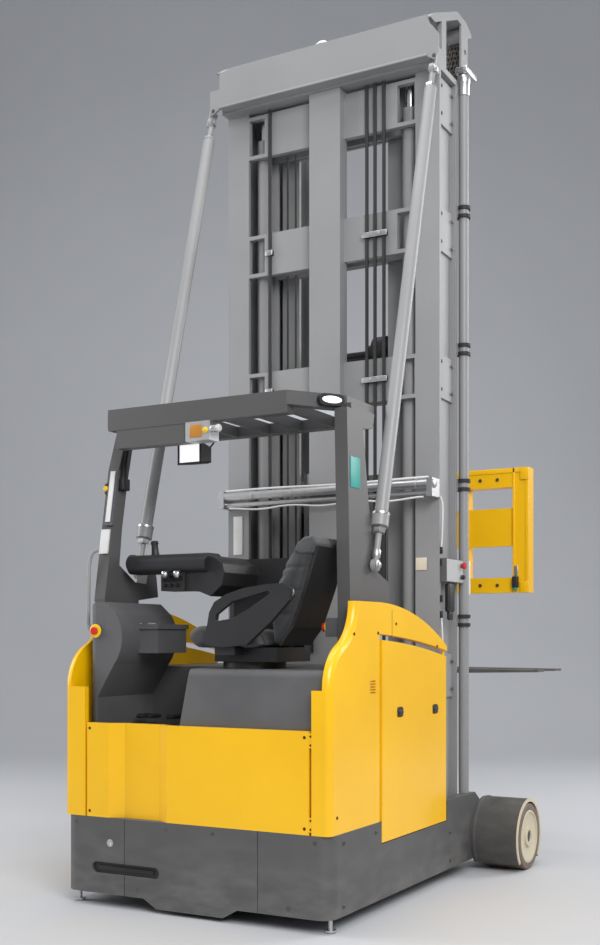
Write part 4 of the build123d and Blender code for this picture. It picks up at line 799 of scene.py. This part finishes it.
CHAIN_Y, CHAIN_FOOT, CHAIN_TOP = 1640, 4110, 4345
wheel_rim = ((-34, 16), (-34, 40), (34, 40), (34, 16))
hole_rim = ((0, 11), (2, 11), (2, 7), (0.5, 7), (0.5, 0))
for side, name in SIDES:
    chains = [leaf_chain(side * x, CHAIN_Y, CHAIN_FOOT, CHAIN_TOP) for x in (578, 540)]
    piece(f"head_chain_{name}", sum(chains, []), "chain_steel")
    wheel = turned((side * 570, CHAIN_Y, CHAIN_TOP), (side, 0, 0), wheel_rim, 28)
    piece(f"chain_wheel_{name}", [wheel], "bright_steel")
    ear_bolt = bolt((side * STAY_X, 1180, 4045), REAR, 9, 6)
    cheek_hole = turned((side * 620, 1652, 4268), (side, 0, 0), hole_rim, 20)
    piece(f"head_bolts_{name}", [ear_bolt, cheek_hole], "chain_steel")
piece("head_beam_lip", [block((-602, 1174, 4050), (602, 1182, 4062), 3)], "stay_paint")
knob("head_dome", "white_plastic", (8, 1220, 4254), UP, ((0, 42), (6, 42), (12, 36), (22, 24), (27, 0)), 32)
PIPE = (640, 1581)
rings = [turned((*PIPE, z + dz), UP, ((-9, 26), (-9, 35), (9, 35), (9, 26)), 28)
         for z in (1290, 1990, 2690, 3400) for dz in (-22, 22)]
piece("pipe_rings", rings, "rubber_black")
sleeve = turned((*PIPE, 4000), UP, ((0, 27), (2, 30), (60, 30), (66, 34), (96, 34), (110, 27)), 28)
piece("pipe_fitting", [block((604, 1546, 4112), (672, 1690, 4148), 8), sleeve], "bright_steel")
strips = [block((x - 6, 1330.2, z0 + 12), (x + 6, 1336, z1 - 12), 2, 2) for x in (-265, -216)
          for z0, z1 in ((1120, 2410), (2630, 3150), (3375, 3790))]
piece("mast_cable_strips", strips, "rubber_black")
BRIGHT_RAIL = (1227, 1962)
rail_ties = [turned((x, *BRIGHT_RAIL), RIGHT, ((0, 23.2), (0, 26), (9, 26), (9, 23.2)), 28)
             for x in (-420, -180, 90, 330, 520)]
rail_ties += [turned((side * 620, *BRIGHT_RAIL), (side, 0, 0), ((0, 23), (6, 23), (9, 17), (9, 0)), 28)
              for side in (-1, 1)]
piece("rail_ties", rail_ties, "bright_steel")
along = np.linspace(0, 1, 40)
sagging = (-560 + 1130 * along, 1216 - 6 * np.sin(along * 9), 1897 - 12 * np.sin(along * math.pi * 3) ** 2)
resting = (-590 + 1180 * along, 1226 + 0 * along, 1992 + 3 * np.sin(along * 8))
piece("rail_leads", [hose(np.stack(sagging, -1), 5), hose(np.stack(resting, -1), 6)], "white_plastic")
print("mast fittings made")

# %% [markdown]
# ## Traverse frame
# The yellow frame in which the turret runs is welded from bars, with a lip along its top, thicker ends, bolts
# in the bars, and a small black sensor with a teal end at the foot of each post.

# %% Traverse frame details
FRAME_REAR, FRAME_END = 2100, 820
lips = [block((-FRAME_END, FRAME_REAR - 5, 2114), (FRAME_END, FRAME_REAR + 1, 2140), 2)]
for side in (-1, 1):
    for x0, x1, z0, z1, out in ((728, 740, 1452, 2140, 5), (772, FRAME_END, 2072, 2140, 9),
                                (772, FRAME_END, 1452, 1512, 9), (800, FRAME_END, 1452, 2140, 4)):
        low, high = sorted((side * x0, side * x1))
        lips.append(block((low, FRAME_REAR - out, z0), (high, FRAME_REAR + 1, z1), 2))
piece("traverse_lips", lips, "body_yellow", "lift_carriage")
frame_bolts = [bolt((side * x, FRAME_REAR, z), REAR, 10, 7) for side in (-1, 1) for x in (540, 640)
               for z in (2080, 1494)]
piece("traverse_bolts", frame_bolts, "chain_steel", "lift_carriage")
posts = (-748, 748)
sensors = [block((x - 16, FRAME_REAR - 30, 1478), (x + 16, FRAME_REAR, 1540), 5) for x in posts]
piece("traverse_sensors", sensors, "black_plastic", "lift_carriage")
end_profile = ((0, 13), (10, 13), (14, 10), (14, 0))
ends = [turned((x, FRAME_REAR - 16, 1478), (0, 0, -1), end_profile) for x in posts]
piece("traverse_sensor_ends", ends, "plate_teal", "lift_carriage")
brackets = [block((x - 11, FRAME_REAR - 6, 1538), (x + 11, FRAME_REAR, 1600), 2) for x in posts]
piece("traverse_brackets", brackets, "bright_steel", "lift_carriage")
print("traverse frame dressed")

# %% [markdown]
# ## Control box on the mast
# The grey box carries a red stop button over a black key switch. A black wired handset hangs in its bracket
# under it, and a white strip runs down its front edge. A red stop button in a yellow collar is in easy reach
# on each side of the cab.

# %% Control box and stop buttons
BOX_FACE, BUTTON_Y = 655, 1500
knob("box_stop_button", "red_button", (BOX_FACE + 10, BUTTON_Y, 1568), RIGHT,
     ((0, 13), (5, 17), (13, 18), (17, 15), (18, 0)), 28)
knob("box_switch", "black_plastic", (BOX_FACE + 10, BUTTON_Y, 1510), RIGHT,
     ((0, 13), (6, 13), (8, 10), (12, 10), (12, 0)))
piece("box_edge_strip", [block((650, 1592, 1424), (668, 1608, 1600), 4)], "white_plastic")
box_screws = [screw((BOX_FACE, y, z), RIGHT, 5, 2.5) for y in (1320, 1522) for z in (1490, 1588)]
piece("box_screws", box_screws, "bright_steel")
handset = [block((628, 1345, 1330), (656, 1420, 1474), 10),
           block((634, 1358, 1290), (652, 1408, 1335), 8),
           block((RAIL_FACE, 1372, 1380), (632, 1394, 1440), 3)]
piece("wired_handset", handset, "black_plastic")
connectors = [block((RAIL_FACE, 1303, z), (632, 1319, z + 34), 3) for z in (1620, 1560, 1380, 1300)]
piece("rail_connectors", connectors, "black_plastic")
lead_up = smooth_path(((626, 1311, 1654), (632, 1309, 1760), (634, 1306, 1860), (626, 1298, 1905)))
lead_down = smooth_path(((626, 1311, 1300), (630, 1310, 1240), (632, 1312, 1160), (626, 1316, 1090)))
piece("rail_edge_leads", [hose(lead_up, 4), hose(lead_down, 4)], "white_plastic")
stop_x = node_box("stop_box")[0][0]
knob("stop_collar_right", "signal_yellow", (stop_x + 22, 335, 1245), LEFT,
     ((0, 24), (3, 30), (7, 30), (9, 24), (9, 15)), 28)
knob("stop_button_right", "red_button", (stop_x + 14, 335, 1245), LEFT,
     ((0, 15), (8, 19), (16, 20), (20, 16), (21, 0)), 28)
left_low, left_high = node_box("stop_button_left")
left_x, _, left_z = (left_low + left_high) / 2
knob("stop_collar_left", "signal_yellow", (left_x, left_high[1] - 1, left_z), REAR,
     ((0, 26), (3, 31), (8, 31), (10, 25), (10, 16)), 28)
print("control box made")

# %% [markdown]
# ## The seat
# The operator sits sideways on a foam pad under black cloth. Foam under cloth swells between its seams, so
# each pad starts as a closed form a little too small, is blown up as cloth under pressure, and is then pulled
# in along its sewn lines. The head part is a lighter cloth, and a hard shell closes the back.

# %% Padded forms


def profile_round(points, count=96):
    """Closed outline with its corners rounded: points evenly along it, each averaged with its neighbours."""
    points = np.array(points, float)
    closed = np.vstack([points, points[:1]])
    length = np.concatenate([[0], np.cumsum(np.linalg.norm(np.diff(closed, axis=0), axis=1))])
    even = np.linspace(0, length[-1], count, endpoint=False)
    ring = np.stack([np.interp(even, length, closed[:, k]) for k in (0, 1)], -1)
    for _ in range(3):
        ring = (np.roll(ring, 1, 0) + 2 * ring + np.roll(ring, -1, 0)) / 4
    return ring


def pillow(profile, y0, y1, edge=42, rows=40):
    """Outline in x and z swept along y. Towards each end the ring shrinks about its middle by
    1 - (1 - quarter circle) * 0.3, so the end is round and its corners pull in."""
    ring = profile_round(profile)
    middle = ring.mean(0)
    y = (y0 + y1) / 2 - (y1 - y0) / 2 * np.cos(np.linspace(0, math.pi, rows))
    inside = np.clip(np.minimum(y - y0, y1 - y) / edge, 0, 1)
    shrink = 1 - (1 - np.sqrt(1 - (1 - inside) ** 2)) * 0.30
    grid = middle + shrink[:, None, None] * (ring[None] - middle)
    return shell(at(grid[..., 0], y[:, None], grid[..., 1]), True)


def vertex_places(mesh):
    """All vertices of a mesh as one array."""
    flat = np.empty(len(mesh.vertices) * 3)
    mesh.vertices.foreach_get("co", flat)
    return flat.reshape(-1, 3)


def swollen(pad, most, voxel=0.007):
    """Cloth under inner pressure. The mesh gets even faces, is stepped through twenty frames without gravity,
    and a point goes no further from its start than the given distance."""
    even = pad.modifiers.new("even_faces", "REMESH")
    even.mode, even.voxel_size = "VOXEL", voxel
    depsgraph = bpy.context.evaluated_depsgraph_get()
    mesh = bpy.data.meshes.new_from_object(pad.evaluated_get(depsgraph))
    pad.modifiers.clear()
    pad.data = mesh
    start = vertex_places(mesh)
    cloth = pad.modifiers.new("inner_pressure", "CLOTH")
    cloth.settings.use_pressure = True
    cloth.settings.uniform_pressure_force = 4
    cloth.settings.effector_weights.gravity = 0
    for moment in range(1, 21):
        scene.frame_set(moment)
    moved = bpy.data.meshes.new_from_object(pad.evaluated_get(bpy.context.evaluated_depsgraph_get()))
    move = vertex_places(moved) - start
    length = np.linalg.norm(move, axis=1, keepdims=True)
    pad.modifiers.clear()
    scene.frame_set(1)
    places = start + move * np.minimum(1, most / np.maximum(length, 1e-9))
    mesh.vertices.foreach_set("co", places.ravel())
    mesh.update()
    print(pad.name, "swelled by up to", round(float(length.max()) * 1000, 1), "mm, held to", most * 1000)


def sewn(pad, lines, depth=0.006, width=0.007):
    """Seams pull the cloth in: each vertex near a line moves inwards by depth * exp(-(distance / width)^2).
    A line is an axis and a level along it, in truck millimetres."""
    mesh = pad.data
    places = vertex_places(mesh)
    normals = np.empty(len(mesh.vertices) * 3)
    mesh.vertices.foreach_get("normal", normals)
    normals = normals.reshape(-1, 3)
    levels = [(axis, level / 1000 - (HALF_LENGTH if axis == 1 else 0)) for axis, level in lines]
    pull = sum(np.exp(-((places[:, axis] - level) / width) ** 2) for axis, level in levels)
    places = places - normals * (depth * np.clip(pull, 0, 1))[:, None]
    mesh.vertices.foreach_set("co", places.ravel())
    mesh.update()


# %% Seat pads
cushion_form = ((-104, 1204), (-88, 1236), (-50, 1247), (90, 1236), (236, 1219), (268, 1166), (90, 1163),
                (-66, 1163))
back_form = ((300, 1166), (291, 1300), (321, 1428), (362, 1518), (418, 1594), (456, 1620), (492, 1623),
             (506, 1598), (448, 1416), (384, 1244), (324, 1166))
cushion = piece("seat_cushion_pad", [pillow(cushion_form, 110, 550)], "seat_fabric", "seat", True, 60)
backrest = piece("seat_back_pad", [pillow(back_form, 187, 473, 30)], "seat_fabric", "seat", True, 60)
swollen(cushion, 0.007)
swollen(backrest, 0.006)
sewn(cushion, ((1, 205), (1, 455), (0, 160)))
sewn(backrest, ((1, 245), (1, 415), (2, 1300), (2, 1400), (2, 1500)))
for pad, node in ((cushion, "seat_cushion"), (backrest, "seat_back")):
    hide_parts(node)
    pad.data.shade_smooth()

shell_line = np.array(((329, 1170), (392, 1248), (456, 1416), (513, 1590)))
outwards = np.array((8.0, -3.0))
back_outline = np.vstack([shell_line + outwards * 0.2, (shell_line + outwards * 1.4)[::-1]])
piece("seat_back_shell", [plate(back_outline, 1, 196, 268)], "black_plastic", "seat", False)
head_pad = ((404, 1566), (418, 1600), (456, 1628), (494, 1631), (511, 1602), (497, 1558), (450, 1552))
head = piece("seat_head_pad", [pillow(head_pad, 183, 477, 26, 28)], "seat_piping", "seat", True, 60)
wheel_and_hub = [turned((404, 178, 1392), REAR, ((0, 20), (8, 22), (16, 20), (20, 12), (20, 0)), 28),
                 turned((404, 190, 1392), REAR, ((0, 12), (14, 12), (14, 0)), 20)]
piece("seat_knob", wheel_and_hub, "bright_steel", "seat")
print("seat pads", len(cushion.data.vertices), len(backrest.data.vertices))

# %% [markdown]
# ## Console and handles
# A barrel-shaped console lies across the operator's knees. It carries round knobs and a black handle, and a
# small box with switches hangs from it. Every control is a small turned or rounded form.

# %% Console fittings
knob_profile = ((0, 11), (14, 11), (18, 17), (27, 18), (33, 13), (35, 0))
knobs = [turned((x, 250, 1500), (0, -0.86, -0.5), knob_profile, 28) for x in (-288, -221)]
piece("console_knobs", knobs, "rod_chrome", "seat")
knob("console_end_knob", "black_plastic", (-512, 315, 1548), LEFT,
     ((-6, 40), (12, 44), (26, 44), (34, 36), (38, 0)), 32, "seat")
knob("console_handle", "black_plastic", (-389, 300, 1580), (-0.10, 0, 1),
     ((0, 21), (18, 17), (48, 15), (60, 19), (70, 15), (72, 0)), 28, "seat")
switches = [turned((x, 261, 1440), REAR, ((0, 9), (5, 9), (8, 7), (8, 0)), 20) for x in (-306, -272, -238)]
switches += [block((-322, 257, 1456), (-212, 262, 1490), 3)]
piece("console_switches", switches, "dark_glass", "seat")
rail_line = smooth_path(((-606, 152, 1606), (-632, 146, 1596), (-650, 142, 1552), (-654, 140, 1440),
                         (-655, 140, 1330), (-654, 140, 1262), (-636, 142, 1228), (-606, 146, 1222)))
piece("grab_handle", [hose(rail_line, 9, 16)], "stay_paint")
print("console made")

# %% [markdown]
# ## Last small parts
# Three pedals stand on the floor pan under the console, as plates with rubber ribs. The locker in the left
# housing has two hinge barrels, and the mast's control box has a pale face.

# %% Pedals, hinges and the face of the control box
pedals = []
floor_top = 820
for x in (-500, -450, -330):
    pedals.append(block((x - 2, 300, floor_top + 4), (x + 34, 385, floor_top + 20), 5))
    pedals += [block((x + 2, y, floor_top + 19), (x + 30, y + 6, floor_top + 24), 2, 2)
               for y in range(308, 378, 12)]
piece("pedals", pedals, "rubber_black")
locker_hinges = [turned((x, 214, 1263), RIGHT, ((0, 0), (0, 6), (40, 6), (40, 0)), 16) for x in (-446, -366)]
piece("locker_hinges", locker_hinges, "bright_steel")
piece("control_box_face", [block((654.6, 1308, 1483), (656.6, 1532, 1595), 2, 2)], "box_grey")
print("small parts made")
